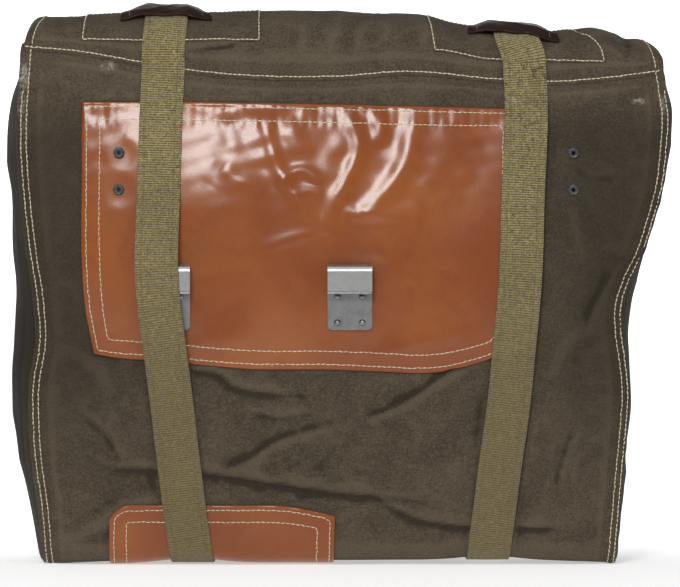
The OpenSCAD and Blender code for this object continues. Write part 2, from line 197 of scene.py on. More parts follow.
# Where the inner row of the side seams' stitching runs, as (height, across).
LEFT_SEAM = ((0, -233), (50, -237), (84, -241.5), (107, -243), (150, -243), (180, -238),
             (214, -239.5), (255, -245.5), (300, -250.5), (343, -253.3), (400, -250.8), (424, -248.5),
             (445, -240))
RIGHT_SEAM = ((0, 217), (34, 219.8), (85, 224), (112, 226.4), (138, 228), (168, 225.5), (190, 222.3),
              (212, 222.4), (232, 228.5), (256, 240), (276, 246.4), (309, 255.3), (340, 258.8),
              (366, 260), (388, 257), (405, 254.2), (424, 247), (445, 240))
# How far each gusset shows past its seam.
LEFT_SWELL = ((0, 9), (42, 13), (63, 16), (84, 18.5), (110, 20), (150, 23.5), (182, 26),
              (215, 23), (255, 19.5), (300, 17), (343, 15.5), (377, 13.5), (400, 7))
RIGHT_SWELL = ((0, 6), (50, 7), (94, 7), (138, 6), (186, 10), (211, 14), (235, 11), (264, 4), (310, 6),
               (350, 7.5), (400, 5))
# The height of the flap seam's stitching, and of the flap's top, across the sack.
FLAP_SEAM = ((-262, 423.5), (-210, 418.8), (-160, 410), (-125, 404.3), (0, 398.8), (53, 402.6),
             (130, 396.3), (174, 394.5), (210, 397), (262, 403.5))
FLAP_TOP = ((-262, 447), (-210, 448.6), (-100, 450.4), (-40, 452.6), (20, 451), (70, 448), (90, 442.8),
            (115, 439), (140, 436.6), (174, 434.4), (192, 437.4), (212, 438.2), (226, 433), (234, 429.4),
            (246, 430), (262, 428))
# The middle of each strap, as (height, across).
LEFT_STRAP = ((-60, -120.5), (6, -120.5), (42, -125.6), (77, -129.8), (129, -135.7), (182, -141.8),
              (214, -146), (237, -147.5), (299, -146.6), (376, -144.6), (440, -141.4))
RIGHT_STRAP = ((-60, 120.5), (9, 121), (42, 125), (77, 129.2), (129, 136.2), (186, 141.6), (227, 145.3),
               (268, 147.2), (299, 148), (334, 149.8), (369, 151), (404, 149.6), (440, 142.5))


# The seams run this much wider than their stations.
SEAM_STRETCH = 1.006


def left_seam(z):
    return SEAM_STRETCH * through(LEFT_SEAM, z)


def right_seam(z):
    return SEAM_STRETCH * through(RIGHT_SEAM, z)


def seam_depth(z):
    """Distance of the side seams from the middle plane: a straight taper with a slight swell."""
    return 56 + 6 * z / 400 + 6 * np.sin(np.pi * np.clip(z, 0, 440) / 400)


def swell(z):
    """How far the full sack's sides stand out between their seams: half a sine wave in height."""
    return 26 * np.sin(np.pi * (np.clip(z, -20, 420) + 40) / 460)


def across(s):
    """1 over the middle of a side, falling to 0 at its seams."""
    return 1 - np.minimum(1, np.abs(s)) ** 6


def hem(x):
    """Height of the sack's underside: drawn up between its feet, and more under each strap."""
    pulled = bell((x + 120.5) / 30) + bell((x - 120.5) / 30)
    return 3.2 * across(x / 226) + 3.6 * pulled


def strap_mask(x, z, reach=9.0):
    """1 under a strap, falling to 0 a little way past its edges."""
    left, right = np.abs(x - through(LEFT_STRAP, z)), np.abs(x - through(RIGHT_STRAP, z))
    return 1 - ease((np.minimum(left, right) - 15) / reach)


def hardware_mask(x, z, reach=22.0):
    """0 at the hooks and rivets, where the cloth is pinched flat, rising to 1 around them."""
    mask = 1.0
    for hx, _, hz in HOOKS:
        away = np.hypot(np.maximum(0, np.abs(x - hx) - 19), np.maximum(0, np.abs(z - hz + 3) - 26))
        mask = mask * ease(away / reach)
    for rx, rz in BAR_RIVETS:
        mask = mask * ease((np.hypot(x - rx, z - rz) - 5) / 12)
    return mask


# The carrier side's named folds: kind, height and width in mm, and the (x, z) points of its line.
CARRIER_FOLDS = (
    (crease, 3.6, 13, ((-198, 82), (-145, 79), (-97, 75), (-57, 68), (0, 60), (32, 57.5), (72, 53))),
    (crease, 3.0, 10, ((30, 58), (44, 47), (75, 36), (108, 32.5), (140, 31.5), (186, 31.5))),
    (crease, 3.4, 11, ((116, 172), (87, 157), (65, 141), (40, 127), (20, 120))),
    (crease, 2.6, 10, ((-126, 161), (-99, 157), (-86, 147), (-68, 142.5), (-25, 140))),
    (crease, 2.6, 12, ((-4, 115), (-47, 103), (-73, 87), (-102, 73))),
    (ridge, 3.6, 7, ((-234, 10), (-204, 28), (-187, 38), (-170, 50), (-140, 56))),
    (ridge, 3.6, 8, ((-232, 176), (-214, 172), (-196, 160), (-184, 138))),
    (crease, 1.5, 13, ((-222, 130), (-204, 121), (-186, 104), (-176, 84))),
    (crease, 2.2, 8, ((-236, 230), (-222, 226), (-212, 214))),
    (ridge, 3.4, 9, ((222, 196), (200, 192), (182, 178), (170, 150))),
    (crease, 3.2, 9, ((244, 266), (224, 242), (208, 214), (198, 188))),
    (crease, 1.2, 14, ((196, 122), (184, 92), (178, 66), (182, 44))),
    (ridge, 2.4, 7, ((186, 300), (192, 270), (196, 244))),
    (crease, 1.8, 8, ((188, 330), (202, 318), (222, 316))),
    (ridge, 1.3, 16, ((30, 150), (24, 120), (30, 92), (44, 70))),
    (ridge, 2.2, 12, ((-60, 150), (-40, 120), (-10, 92))),
    (crease, 1.4, 8, ((-80, 128), (-50, 122), (-20, 126))),
)


def carrier_folds(x, z):
    """The canvas's folds on the carrier side: named creases, then broad and small unevenness."""
    h = folded(0.0, x, z, CARRIER_FOLDS)
    low = ease((230 - z) / 120)
    h = h + (0.6 + 1.1 * low) * ripple(x, z, 11, 120) + 0.20 * rumple(x, z, 21, 74) * (0.3 + low)
    h = h + 0.12 * rumple(x, 1.3 * z, 31, 27) + 0.12 * ripple(x, z, 36, 16)
    puckers = bell((x - left_seam(z)) / 16) + bell((x - right_seam(z)) / 16)
    h = h + 0.7 * puckers * np.sin(2 * np.pi * z / 17 + 1.5 * ripple(x, z, 41, 60))
    h = h * hardware_mask(x, z) * (1 - 0.8 * strap_mask(x, z))
    beside_strap = strap_mask(x, z, 26) * ease((392 - z) / 40)
    return h - 1.6 * beside_strap * ease((z - 10) / 60) - 0.6 * bell((x - left_seam(z)) / 3)


# The outer side's named folds.
OUTER_FOLDS = (
    (crease, 2.2, 14, ((-190, 84), (-120, 76), (-40, 62), (40, 60), (120, 70), (190, 82))),
    (ridge, 2.2, 11, ((-210, 190), (-170, 150), (-150, 110))),
    (ridge, 2.4, 11, ((205, 196), (176, 160), (160, 118))),
    (crease, 1.8, 12, ((-80, 190), (-30, 160), (30, 150), (90, 172))),
)


def outer_folds(x, z):
    """The outer side's folds: slack diagonals below the flap, and gentle unevenness."""
    h = folded(0.0, x, z, OUTER_FOLDS)
    h = h + 1.1 * ripple(x, z, 51, 130) + 0.22 * rumple(x, z, 61, 120)
    return h * (1 - 0.8 * strap_mask(x, z)) - 1.2 * strap_mask(x, z, 22)


# The hook panel's pulls, and its lower and slighter folds.
LEATHER_PULLS = (
    (ridge, 1.5, 5.8, ((-62, 374), (-59, 352), (-52, 328), (-42, 307), (-30, 290), (-14, 273))),
    (ridge, 1.5, 5.7, ((2, 376), (11, 356), (15, 340), (9, 319), (-2, 299), (-9, 283), (-12, 268))),
    (ridge, 2.2, 8.2, ((63, 378), (59, 354), (53, 329), (43, 311), (31, 297), (17, 286))),
    (ridge, 0.8, 5.6, ((-66, 257), (-48, 263), (-30, 268), (-12, 271))),
    (ridge, 1.3, 4.4, ((-50, 307), (-41, 317), (-28, 320), (-14, 310))),
    (ridge, 0.9, 3.6, ((-38, 302), (-26, 304), (-14, 301))),
    (ridge, 1.6, 6.6, ((2, 288), (16, 285), (30, 286), (66, 283))),
    (ridge, 0.8, 9, ((-98, 366), (-89, 344), (-91, 326), (-102, 308))),
    (ridge, 0.9, 7, ((-96, 322), (-80, 313), (-60, 302))),
    (ridge, 1.2, 5.6, ((26, 372), (33, 356), (30, 340))),
)
LEATHER_ROLLS = (
    (ridge, 1.0, 14, ((-170, 160), (-130, 178), (-60, 182))),
    (ridge, 1.2, 12, ((20, 160), (56, 178), (110, 186))),
    (ridge, 0.9, 8, ((-176, 346), (-160, 340), (-150, 322))),
)


def leather_folds(x, z):
    """The hook panel's pulls: ridges that fan up and out from a pinch over the right hook, a
    fuller part on the left, and a top edge that rolls back towards its stitching."""
    h = 2.6 * bell((x + 36) / 76) * ease((z - 190) / 120)
    h = h + 2.6 * bell(np.hypot((x + 122) / 1.15, z - 296) / 44) * ease((z - 262) / 30)
    h = folded(h, x, z, LEATHER_PULLS)
    h = h + 1.6 * bell(np.hypot(x + 36, z - 345) / 12)
    h = folded(h, x, z, LEATHER_ROLLS)
    roll = ease((z - 350) / 24) ** 2
    h = h - roll * (1.5 + 0.7 * ripple(x, z, 95, 34)) * (0.25 + 0.75 * ease((66 - x) / 50))
    h = h + 0.40 * ripple(x, z, 81, 90) + 0.13 * ripple(x, z, 91, 20) * ease((z - 270) / 60)
    h = h + 0.12 * np.sin(2 * np.pi * x / 8.2) * (bell((z - 371) / 5) + bell((z - 359.5) / 4))
    return h * hardware_mask(x, z, 16) * (1 - 0.6 * strap_mask(x, z, 34))


CARRIER_RELIEF, OUTER_RELIEF = Relief(carrier_folds), Relief(outer_folds)
LEATHER_RELIEF = Relief(leather_folds)
LEATHER_TOP = ((-210, 376.8), (-100, 376), (0, 374.2), (146, 370.6))
LEATHER_LOW = ((-200, 172.5), (-182, 169.5), (-160, 168), (-150, 167.8), (-121, 164.5), (-72, 160.5),
               (-8, 160), (40, 158), (66, 157), (90, 159.6), (110, 165), (124, 170), (146, 179))
LEATHER_LEFT = ((160, -198), (174, -199.5), (206, -205.5), (254, -209), (300, -209.4), (376, -209.4))
LEATHER_RIGHT = ((160, 135), (178, 137.5), (191, 141), (222, 145), (295, 146.5), (351, 147), (371, 148))


def over_leather(x, z):
    """1 where the hook panel lies and 0 off it, with a soft border."""
    inside = np.minimum(through(LEATHER_TOP, x) - z, z - through(LEATHER_LOW, x))
    inside = np.minimum(inside, np.minimum(x - through(LEATHER_LEFT, z), through(LEATHER_RIGHT, z) - x))
    return ease(inside / 10 + 0.6)


def face(side, x, z):
    """Distance of the canvas from the middle plane, on the carrier side (-1) or outer side (1)."""
    low, high = left_seam(z), right_seam(z)
    base = seam_depth(z) + swell(z) * across(2 * (x - low) / (high - low) - 1)
    if side > 0:
        return base + OUTER_RELIEF(x, z)
    lay = over_leather(x, z)
    return base + CARRIER_RELIEF(x, z) * (1 - lay) + lay * (LEATHER_RELIEF(x, z) - 0.3)


def wall(side, x, h, out=0.0):
    """A point of a side at height h. Below the bend it turns under the sack on a quarter
    circle, and then runs level, so that a strap or seam can be carried on round."""
    foot = hem(x) + BEND
    over = np.maximum(0, foot - h)
    turn = np.minimum(over / BEND, np.pi / 2)
    level = np.maximum(0, over - BEND * np.pi / 2)
    d = face(side, x, np.maximum(h, foot)) - BEND * (1 - np.cos(turn)) - level
    z = np.where(h >= foot, h, foot - BEND * np.sin(turn))
    point = np.stack([x + 0 * z, CENTRE_Y + side * d, z], -1)
    if np.ndim(out) == 0 and out == 0:
        return point
    return point + np.asarray(out)[..., None] * wall_normal(side, x, h)


def wall_normal(side, x, h):
    """The outward direction of a side, from the differences between near points."""
    e = 1.5
    dx = wall(side, x + e, h) - wall(side, x - e, h)
    dh = wall(side, x, h + e) - wall(side, x, h - e)
    n = -side * np.cross(dx, dh)
    return n / np.linalg.norm(n, axis=-1, keepdims=True)


def flap_end(x):
    """How far the flap's top comes down at its rounded ends."""
    left = np.clip((-x - 243) / 14.4, 0, 0.995)
    right = np.clip((x - 236) / 28, 0, 0.995)
    return 24 * (1 - np.sqrt(1 - left**2)) + 17 * (1 - np.sqrt(1 - right**2))


def crown_angle(x, z):
    """The angle at which the flap's front stands at a height, the inverse of crown's rise."""
    seam = through(FLAP_SEAM, x)
    top = np.maximum(through(FLAP_TOP, x) - flap_end(x), FOLD_Z)
    base = seam + (FOLD_Z - seam) * 0.2
    share = np.clip((z - base) / (top - base), 0.0, 0.995)
    return np.degrees(np.arcsin(share ** (1 / 0.72)))


def flap_relief(x, a):
    """The flap's unevenness: it hangs a little between the straps and puckers at its seam."""
    s = a / 180 * 150
    h = 0.8 * ripple(x, s, 101, 110) + 0.4 * rumple(x, s, 111, 70) + 0.15 * rumple(x, s, 115, 30)
    h = h * ease(a / 24) * ease((180 - a) / 24)
    return h + crease(x, s, [(-128, 8), (-110, 12.5), (-84, 18)], 2.4, 7) * (a < 90)


def crown(x, a, out=0.0):
    """A point of the flap's crown: a runs from 0 at the flap seam to 180 at the fold on the
    outer side, on a rounded box that rises from the seam's height to the flap's top."""
    x, a = np.broadcast_arrays(x, a)
    c, s = np.cos(np.radians(a)), np.sin(np.radians(a))
    seam = through(FLAP_SEAM, x)
    front = face(-1, x, seam) + 1.2
    back = face(1, x, BAG_TOP) + 5.5
    base = seam + (FOLD_Z - seam) * ease(a / 180)
    top = np.maximum(through(FLAP_TOP, x) - flap_end(x), base + 1.5)
    ridge_y = np.where(c > 0, -front * np.abs(c) ** 0.62, back * np.abs(c) ** 0.62)
    z = base + (top - base) * np.abs(s) ** 0.72
    point = np.stack([x + 0 * z, CENTRE_Y + ridge_y, z], -1)
    lift = flap_relief(x, a) + out
    radial = np.stack([0 * z, np.where(c > 0, -1, 1) * np.abs(c) ** 0.9, np.abs(s) ** 0.9 + 0 * z], -1)
    radial = radial / np.linalg.norm(radial, axis=-1, keepdims=True)
    return point + np.asarray(lift)[..., None] * radial


def drop(x, z, out=0.0):
    """A point of the flap's drop, which hangs clear of the outer side."""
    d = seam_depth(z) + swell(z) * across(x / 254) + 5.5
    d = d + (1.1 * ripple(x, z, 121, 130) + 0.2 * rumple(x, z, 131, 120)) * ease((FOLD_Z - z) / 40)
    mouth = face(1, x, BAG_TOP) - seam_depth(BAG_TOP) - swell(BAG_TOP) * across(x / 254)
    d = d + mouth * ease((z - 370) / 30)
    return np.stack([x + 0 * z, CENTRE_Y + d + out, z + 0 * x], -1)


# ---------------------------------------------------------------- meshes


def grid_normals(points):
    """Unit normals of a grid of points, from its differences along rows and columns."""
    n = np.cross(np.gradient(points, axis=1), np.gradient(points, axis=0))
    return n / np.maximum(np.linalg.norm(n, axis=-1, keepdims=True), 1e-9)


def make(name, vertices, faces, uv, finish, body=None, smooth=True):
    """A mesh object from millimetre points, its faces' corners, and a UV pair per corner."""
    mesh = bpy.data.meshes.new(name)
    mesh.from_pydata((np.asarray(vertices) * MM).tolist(), [], [list(map(int, one)) for one in faces])
    mesh.polygons.foreach_set("use_smooth", np.full(len(mesh.polygons), smooth))
    layer = mesh.uv_layers.new(name="cloth")
    layer.data.foreach_set("uv", (np.asarray(uv, float) * MM).reshape(-1).astype(np.float32))
    mesh.validate()
    mesh.update()
    piece = bpy.data.objects.new(name, mesh)
    bpy.context.scene.collection.objects.link(piece)
    mesh.materials.append(finish)
    if body:
        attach(piece, body)
    return piece


def quads(rows, columns):
    """The four corners of each cell of a grid, as indices."""
    k = np.arange(rows * columns).reshape(rows, columns)
    return np.stack([k[:-1, :-1], k[:-1, 1:], k[1:, 1:], k[1:, :-1]], -1).reshape(-1, 4)


def arc(points, axis):
    """Distance along each line of a grid."""
    step = np.linalg.norm(np.diff(points, axis=axis), axis=-1)
    return np.concatenate([np.zeros_like(np.take(step, [0], axis)), np.cumsum(step, axis=axis)], axis)


def sheet_shell(outer, thickness, turned=False):
    """A closed thin wall: a grid, the same grid set back by the thickness along its normals,
    and the border between them, with its outer edges eased."""
    rows, columns = outer.shape[:2]
    normal = grid_normals(outer) * (-1 if turned else 1)
    ring = np.ones((rows, columns))
    ring[[0, -1], :] = 0
    ring[:, [0, -1]] = 0
    face_points = outer - normal * ((1 - ring) * 0.35 * thickness)[..., None]
    inner = outer - normal * (thickness * (1 - 0.3 * (1 - ring)))[..., None]
    n = rows * columns
    front, k = quads(rows, columns), np.arange(n).reshape(rows, columns)
    edge = np.concatenate([k[0, :-1], k[:-1, -1], k[-1, :0:-1], k[:0:-1, 0]])
    after = np.roll(edge, -1)
    border = np.stack([after, edge, edge + n, after + n], -1)
    faces = np.concatenate([front, front[:, ::-1] + n, border])
    if turned:
        faces = faces[:, ::-1]
    uv = np.stack([arc(outer, 1), arc(outer, 0)], -1).reshape(-1, 2)
    uv = np.concatenate([uv, uv])
    return np.concatenate([face_points.reshape(-1, 3), inner.reshape(-1, 3)]), faces, uv[faces].reshape(-1, 2)


def carried(path, side, up, profile):
    """A closed profile, in (side, up) millimetres, carried along a path. There is one profile for
    the whole path, or one for each of its points. Its ends are capped."""
    profile = np.broadcast_to(profile, (len(path),) + profile.shape[-2:])
    points = path[:, None] + profile[..., :1] * side[:, None] + profile[..., 1:] * up[:, None]
    count, ring = points.shape[:2]
    k = np.arange(count * ring).reshape(count, ring)
    k = np.concatenate([k, k[:, :1]], 1)
    walls = np.stack([k[:-1, :-1], k[1:, :-1], k[1:, 1:], k[:-1, 1:]], -1).reshape(-1, 4)
    along = arc(path, 0)
    closed = np.concatenate([points[0], points[0][:1]])
    around = arc(closed, 0)
    rows, cols = np.meshgrid(np.arange(count - 1), np.arange(ring), indexing="ij")
    uv = np.stack([np.stack([around[cols + b], along[rows + a]], -1)
                   for a, b in ((0, 0), (1, 0), (1, 1), (0, 1))], -2).reshape(-1, 2)
    j = np.arange(ring)
    first = np.stack([j, np.roll(j, -1), np.full(ring, count * ring)], -1)
    last = np.stack([np.roll(j, -1) + (count - 1) * ring, j + (count - 1) * ring,
                     np.full(ring, count * ring + 1)], -1)
    vertices = np.concatenate([points.reshape(-1, 3), [points[0].mean(0), points[-1].mean(0)]])
    uv = np.concatenate([uv, np.zeros((2 * ring * 3, 2))])
    return vertices, walls.tolist() + first.tolist() + last.tolist(), uv


def strap_profile(width, thickness):
    """A webbing's section: flat faces, and edges that thin to a rounded selvedge."""
    half, t = width / 2, thickness / 2
    x = np.array([-half, -half + 0.5, -half + 1.6, -half + 3, 0, half - 3, half - 1.6, half - 0.5, half])
    y = np.array([0, 0.75, 0.98, 0.86, 1.0, 0.86, 0.98, 0.75, 0]) * t
    top = np.stack([x, y], 1)
    under = np.stack([x[-2:0:-1], -y[-2:0:-1]], 1)
    return np.concatenate([top, under])


def along_path(path):
    """Unit directions along a path."""
    d = np.gradient(path, axis=0)
    return d / np.maximum(np.linalg.norm(d, axis=1, keepdims=True), 1e-9)


def even(points, spacing):
    """The same line with points about a fixed distance apart."""
    length = arc(points, 0)
    count = max(2, int(round(length[-1] / spacing)) + 1)
    at = np.linspace(0, length[-1], count)
    return np.stack([np.interp(at, length, points[:, k]) for k in range(points.shape[1])], 1)


def thread(lines, finish, name, body, pitch=3.9, radius=0.42, seed=1):
    """Sewn rows. Each line is points with a normal at each; along it go short spindles of
    thread, a pitch apart, whose ends dip into the cloth and whose middles stand out."""
    rng = np.random.default_rng(seed)
    rings, sides = 5, 6
    all_points = []
    for points, normals in lines:
        both = even(np.concatenate([points, normals], 1), pitch)
        a, b = both[:-1, :3], both[1:, :3]
        n = both[:-1, 3:] + both[1:, 3:]
        n /= np.linalg.norm(n, axis=1, keepdims=True)
        d = b - a
        long = np.linalg.norm(d, axis=1, keepdims=True)
        d = d / long
        s = np.cross(d, n)
        count = len(a)
        swerve = rng.normal(0, 0.10, (count, 1))
        centre = (a + b) / 2 + s * rng.normal(0, 0.12, (count, 1))
        d = d + s * swerve
        t = np.linspace(-1, 1, rings)
        half = 0.49 * long * rng.uniform(0.92, 1.04, (count, 1))
        thick = radius * rng.uniform(0.85, 1.15, (count, 1))
        size = np.sqrt(np.maximum(0, 1 - 0.93 * t**2))
        rise = 0.25 - 0.95 * t**2
        core = (centre[:, None] + d[:, None] * (half * t)[..., None]
                + n[:, None] * (thick * rise + 0.1)[..., None])
        angle = np.arange(sides) * 2 * np.pi / sides
        cross = s[:, None, :] * np.cos(angle)[:, None] + n[:, None, :] * np.sin(angle)[:, None]
        spindles = core[:, :, None] + cross[:, None] * (thick * size)[..., None, None]
        all_points.append(spindles.reshape(-1, 3))
    vertices = np.concatenate(all_points)
    stitches = len(vertices) // (rings * sides)
    k = np.arange(rings * sides).reshape(rings, sides)
    k2 = np.concatenate([k, k[:, :1]], 1)
    body_faces = np.stack([k2[:-1, :-1], k2[:-1, 1:], k2[1:, 1:], k2[1:, :-1]], -1).reshape(-1, 4)
    ends = np.array([[0, 3, 2, 1], [0, 5, 4, 3], [24, 25, 26, 27], [24, 27, 28, 29]])
    one = np.concatenate([body_faces, ends])
    faces = (one[None] + (np.arange(stitches) * rings * sides)[:, None, None]).reshape(-1, 4)
    flat = vertices[:, [0, 2]]
    piece = make(name, vertices, faces, flat[faces].reshape(-1, 2), finish)
    if body:
        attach(piece, body)
    return piece


def on_crown_line(line, out, fine=2.0):
    """A sewn line's points and normals on the flap's crown, from a few (x, angle) points."""
    flat_line = even(run(line, 60), fine)
    x, a = flat_line[:, 0], flat_line[:, 1]
    p = crown(x, a, out)
    n = np.cross(crown(x, a + 1, out) - crown(x, a - 1, out), crown(x + 1, a, out) - crown(x - 1, a, out))
    n /= np.linalg.norm(n, axis=1, keepdims=True)
    n = np.where((n * (p - np.array([0, CENTRE_Y, 390]))).sum(1, keepdims=True) < 0, -n, n)
    return p, n


# ---------------------------------------------------------------- finishes


class Val:
    """A number on a socket. Arithmetic on it adds Math nodes."""

    def __init__(self, finish, socket):
        self.finish, self.socket = finish, socket

    def maths(self, operation, *others):
        values = dict(enumerate((self,) + others))
        return self.finish.node("ShaderNodeMath", {"operation": operation}, values)

    def __add__(self, other):
        return self.maths("ADD", other)

    def __sub__(self, other):
        return self.maths("SUBTRACT", other)

    def __rsub__(self, other):
        return self.finish.node("ShaderNodeMath", {"operation": "SUBTRACT"}, {0: other, 1: self})

    def __mul__(self, other):
        return self.maths("MULTIPLY", other)

    def __truediv__(self, other):
        return self.maths("DIVIDE", other)

    def __pow__(self, other):
        return self.maths("POWER", other)

    __radd__, __rmul__ = __add__, __mul__

    def sine(self):
        return self.maths("SINE")

    def step(self, low, high):
        """0 below low, 1 above high, and smooth between."""
        return self.finish.node("ShaderNodeMapRange", {"interpolation_type": "SMOOTHSTEP", "clamp": True},
                                {0: self, 1: low, 2: high, 3: 0.0, 4: 1.0})


class Finish:
    """A material in the making: one Principled shader, and the nodes that feed it."""

    def __init__(self, name, **constant):
        self.material = bpy.data.materials.new(name)
        self.material.use_nodes = True
        self.tree = self.material.node_tree
        self.tree.nodes.clear()
        self.shader = self.tree.nodes.new("ShaderNodeBsdfPrincipled")
        self.output = self.tree.nodes.new("ShaderNodeOutputMaterial")
        self.tree.links.new(self.shader.outputs[0], self.output.inputs[0])
        for key, value in constant.items():
            self.shader.inputs[key.replace("_", " ")].default_value = value

    def node(self, kind, settings=None, sockets=None, output=0):
        """A node of a kind: its settings first, then the values or links of its sockets."""
        node = self.tree.nodes.new(kind)
        for key, value in (settings or {}).items():
            if key == "stops":
                ramp = node.color_ramp
                while len(ramp.elements) < len(value):
                    ramp.elements.new(0.5)
                for element, (place, colour) in zip(ramp.elements, value):
                    element.position, element.color = place, colour
            else:
                setattr(node, key, value)
        for key, value in (sockets or {}).items():
            self.feed(node.inputs[key], value)
        return Val(self, node.outputs[output])

    def feed(self, socket, value):
        if isinstance(value, Val):
            self.tree.links.new(value.socket, socket)
        elif isinstance(value, bpy.types.NodeSocket):
            self.tree.links.new(value, socket)
        else:
            socket.default_value = value

    def place(self):
        return self.node("ShaderNodeTexCoord", output="Object")

    def cloth(self):
        return self.node("ShaderNodeUVMap", {"uv_map": "cloth"})

    def parts(self, vector):
        xyz = self.node("ShaderNodeSeparateXYZ", None, {0: vector})
        return [Val(self, s) for s in xyz.socket.node.outputs]

    def noise(self, at, scale, detail=3.0, roughness=0.55, distortion=0.0, stretch=None):
        if stretch:
            at = self.node("ShaderNodeVectorMath", {"operation": "MULTIPLY"}, {0: at, 1: stretch})
        return self.node("ShaderNodeTexNoise", None, {"Vector": at, "Scale": scale, "Detail": detail,
                                                      "Roughness": roughness, "Distortion": distortion})

    def mix(self, amount, a, b):
        """Colour a turning into colour b."""
        return self.node("ShaderNodeMix", {"data_type": "RGBA"}, {0: amount, 6: a, 7: b}, output=2)

    def bump(self, height, distance, strength=1.0, after=None):
        sockets = {"Height": height, "Distance": distance, "Strength": strength}
        if after is not None:
            sockets["Normal"] = after
        return self.node("ShaderNodeBump", None, sockets)

    def done(self, **varying):
        for key, value in varying.items():
            self.feed(self.shader.inputs[key.replace("_", " ")], value)
        return self.material


def shade(colour, amount):
    """A colour made lighter or darker, for the same finish."""
    return tuple(min(1.0, c * amount) for c in tuple(colour)[:3]) + (1.0,)


def painted_bore_shade(x, y, z):
    """1 in the open holes of the stiffener's tubular rivets on the carrier side, where their shade is painted
    black, 0 elsewhere.
    """
    bore_shade_sum = 0.0
    for bx, bz in BAR_RIVETS:
        away = ((x - bx * MM) ** 2.0 + (z - bz * MM) ** 2.0) ** 0.5
        bore_shade_sum = away.step(0.0034, 0.0026) + bore_shade_sum
    return bore_shade_sum * y.step(0.0, -0.02)


# The canvas's pale scrapes: place, half-width and half-height in mm, and strength.
SCRAPES = ((-188, 405, 7, 5, 0.5), (243, 377, 7, 3, 0.6), (-257, 398, 5, 12, 0.7),
           (-258, 372, 4, 16, 0.5), (-256, 350, 4, 14, 0.3), (262, 372, 3, 10, 0.4))
# Black painted into the stiffener rivets' open holes as their shade.
BORE_SHADE_BLACK = (0.004, 0.004, 0.004, 1)


def canvas_finish(name, colour):
    """Proofed canvas: a plain weave, a woolly mottle at several sizes, scuffed high spots, and a
    few pale scrapes. An attribute from the creases lightens crests where they are scuffed and
    darkens the bottoms of creases as painted shade. Painted shade also darkens it towards its
    sides, and paints the stiffener rivets' open holes black."""
    f = Finish(name, Specular_IOR_Level=0.12, Sheen_Weight=0.04, Sheen_Roughness=0.5)
    at, uv = f.place(), f.cloth()
    u, v, _ = f.parts(uv)
    weave = (u * (2 * math.pi / 0.0011)).sine() * (v * (2 * math.pi / 0.0011)).sine()
    broad = f.noise(at, 9, 4, 0.6)
    cloud = f.noise(at, 38, 5, 0.65, 0.6)
    fleck = f.noise(at, 560, 4, 0.8)
    fine = f.noise(at, 1200, 2, 0.6)
    weft = f.noise(uv, 1.0, 3, 0.6, stretch=(110, 900, 1))
    warp = f.noise(uv, 1.0, 2, 0.6, stretch=(900, 130, 1))
    base = f.mix(broad.step(0.34, 0.68), shade(colour, 0.82), shade(colour, 1.14))
    base = f.mix(cloud.step(0.42, 0.72) * 0.65, base, shade(colour, 1.38))
    earthy = (colour[0], colour[1] * 0.94, colour[2] * 0.9)
    base = f.mix(cloud.step(0.56, 0.28) * 0.55, base, shade(earthy, 0.60))
    base = f.mix(fleck.step(0.50, 0.66) * 0.75, base, shade(colour, 1.9))
    base = f.mix(fleck.step(0.48, 0.32) * 0.85, base, shade(colour, 0.34))
    base = f.mix(weft.step(0.50, 0.72) * 0.40, base, shade(colour, 1.6))
    base = f.mix(weft.step(0.48, 0.30) * 0.40, base, shade(colour, 0.5))
    base = f.mix(warp.step(0.52, 0.74) * 0.25, base, shade(colour, 1.5))
    base = f.mix(fine.step(0.40, 0.65) * 0.5, base, shade(colour, 0.60))
    wear = f.node("ShaderNodeAttribute", {"attribute_name": "wear"}, output="Fac")
    # Crests are lightened where they are scuffed.
    base = f.mix((wear + (cloud - 0.5) * 0.6).step(0.10, 1.0) * 0.34, base, shade(colour, 1.8))
    # Painted shade: the bottoms of creases are darkened.
    base = f.mix((wear * -1.0).step(0.10, 1.0) * 0.72, base, shade(colour, 0.28))
    x, y, z = f.parts(at)
    for sx, sz, wide, high, strong in SCRAPES:
        spot = (((x - sx * MM) / (wide * MM)) ** 2.0 + ((z - sz * MM) / (high * MM)) ** 2.0) ** 0.5
        patchy = f.noise(at, 300, 4, 0.8).step(0.42, 0.60) * y.step(0.0, -0.02)
        base = f.mix(spot.step(1.3, 0.2) * patchy * strong, base, (0.50, 0.46, 0.38, 1))
    # Painted shade: the canvas darkens towards the sack's two sides, in a band below the flap.
    painted_side_shade = ((x ** 2.0) ** 0.5).step(0.13, 0.21) * z.step(0.388, 0.345) * z.step(0.03, 0.20)
    base = f.mix(painted_side_shade * 0.60, base, shade(colour, 0.34))
    # Painted shade: black in the rivets' open holes.
    base = f.mix(painted_bore_shade(x, y, z), base, BORE_SHADE_BLACK)
    rough = 0.86 + (cloud - 0.5) * 0.16
    height = weave * 0.22 + fleck * 1.1 + weft * 0.7
    return f.done(Base_Color=base, Roughness=rough,
                  Normal=f.bump(height, 0.00034, 1.0, f.bump(cloud, 0.0016, 0.6)))


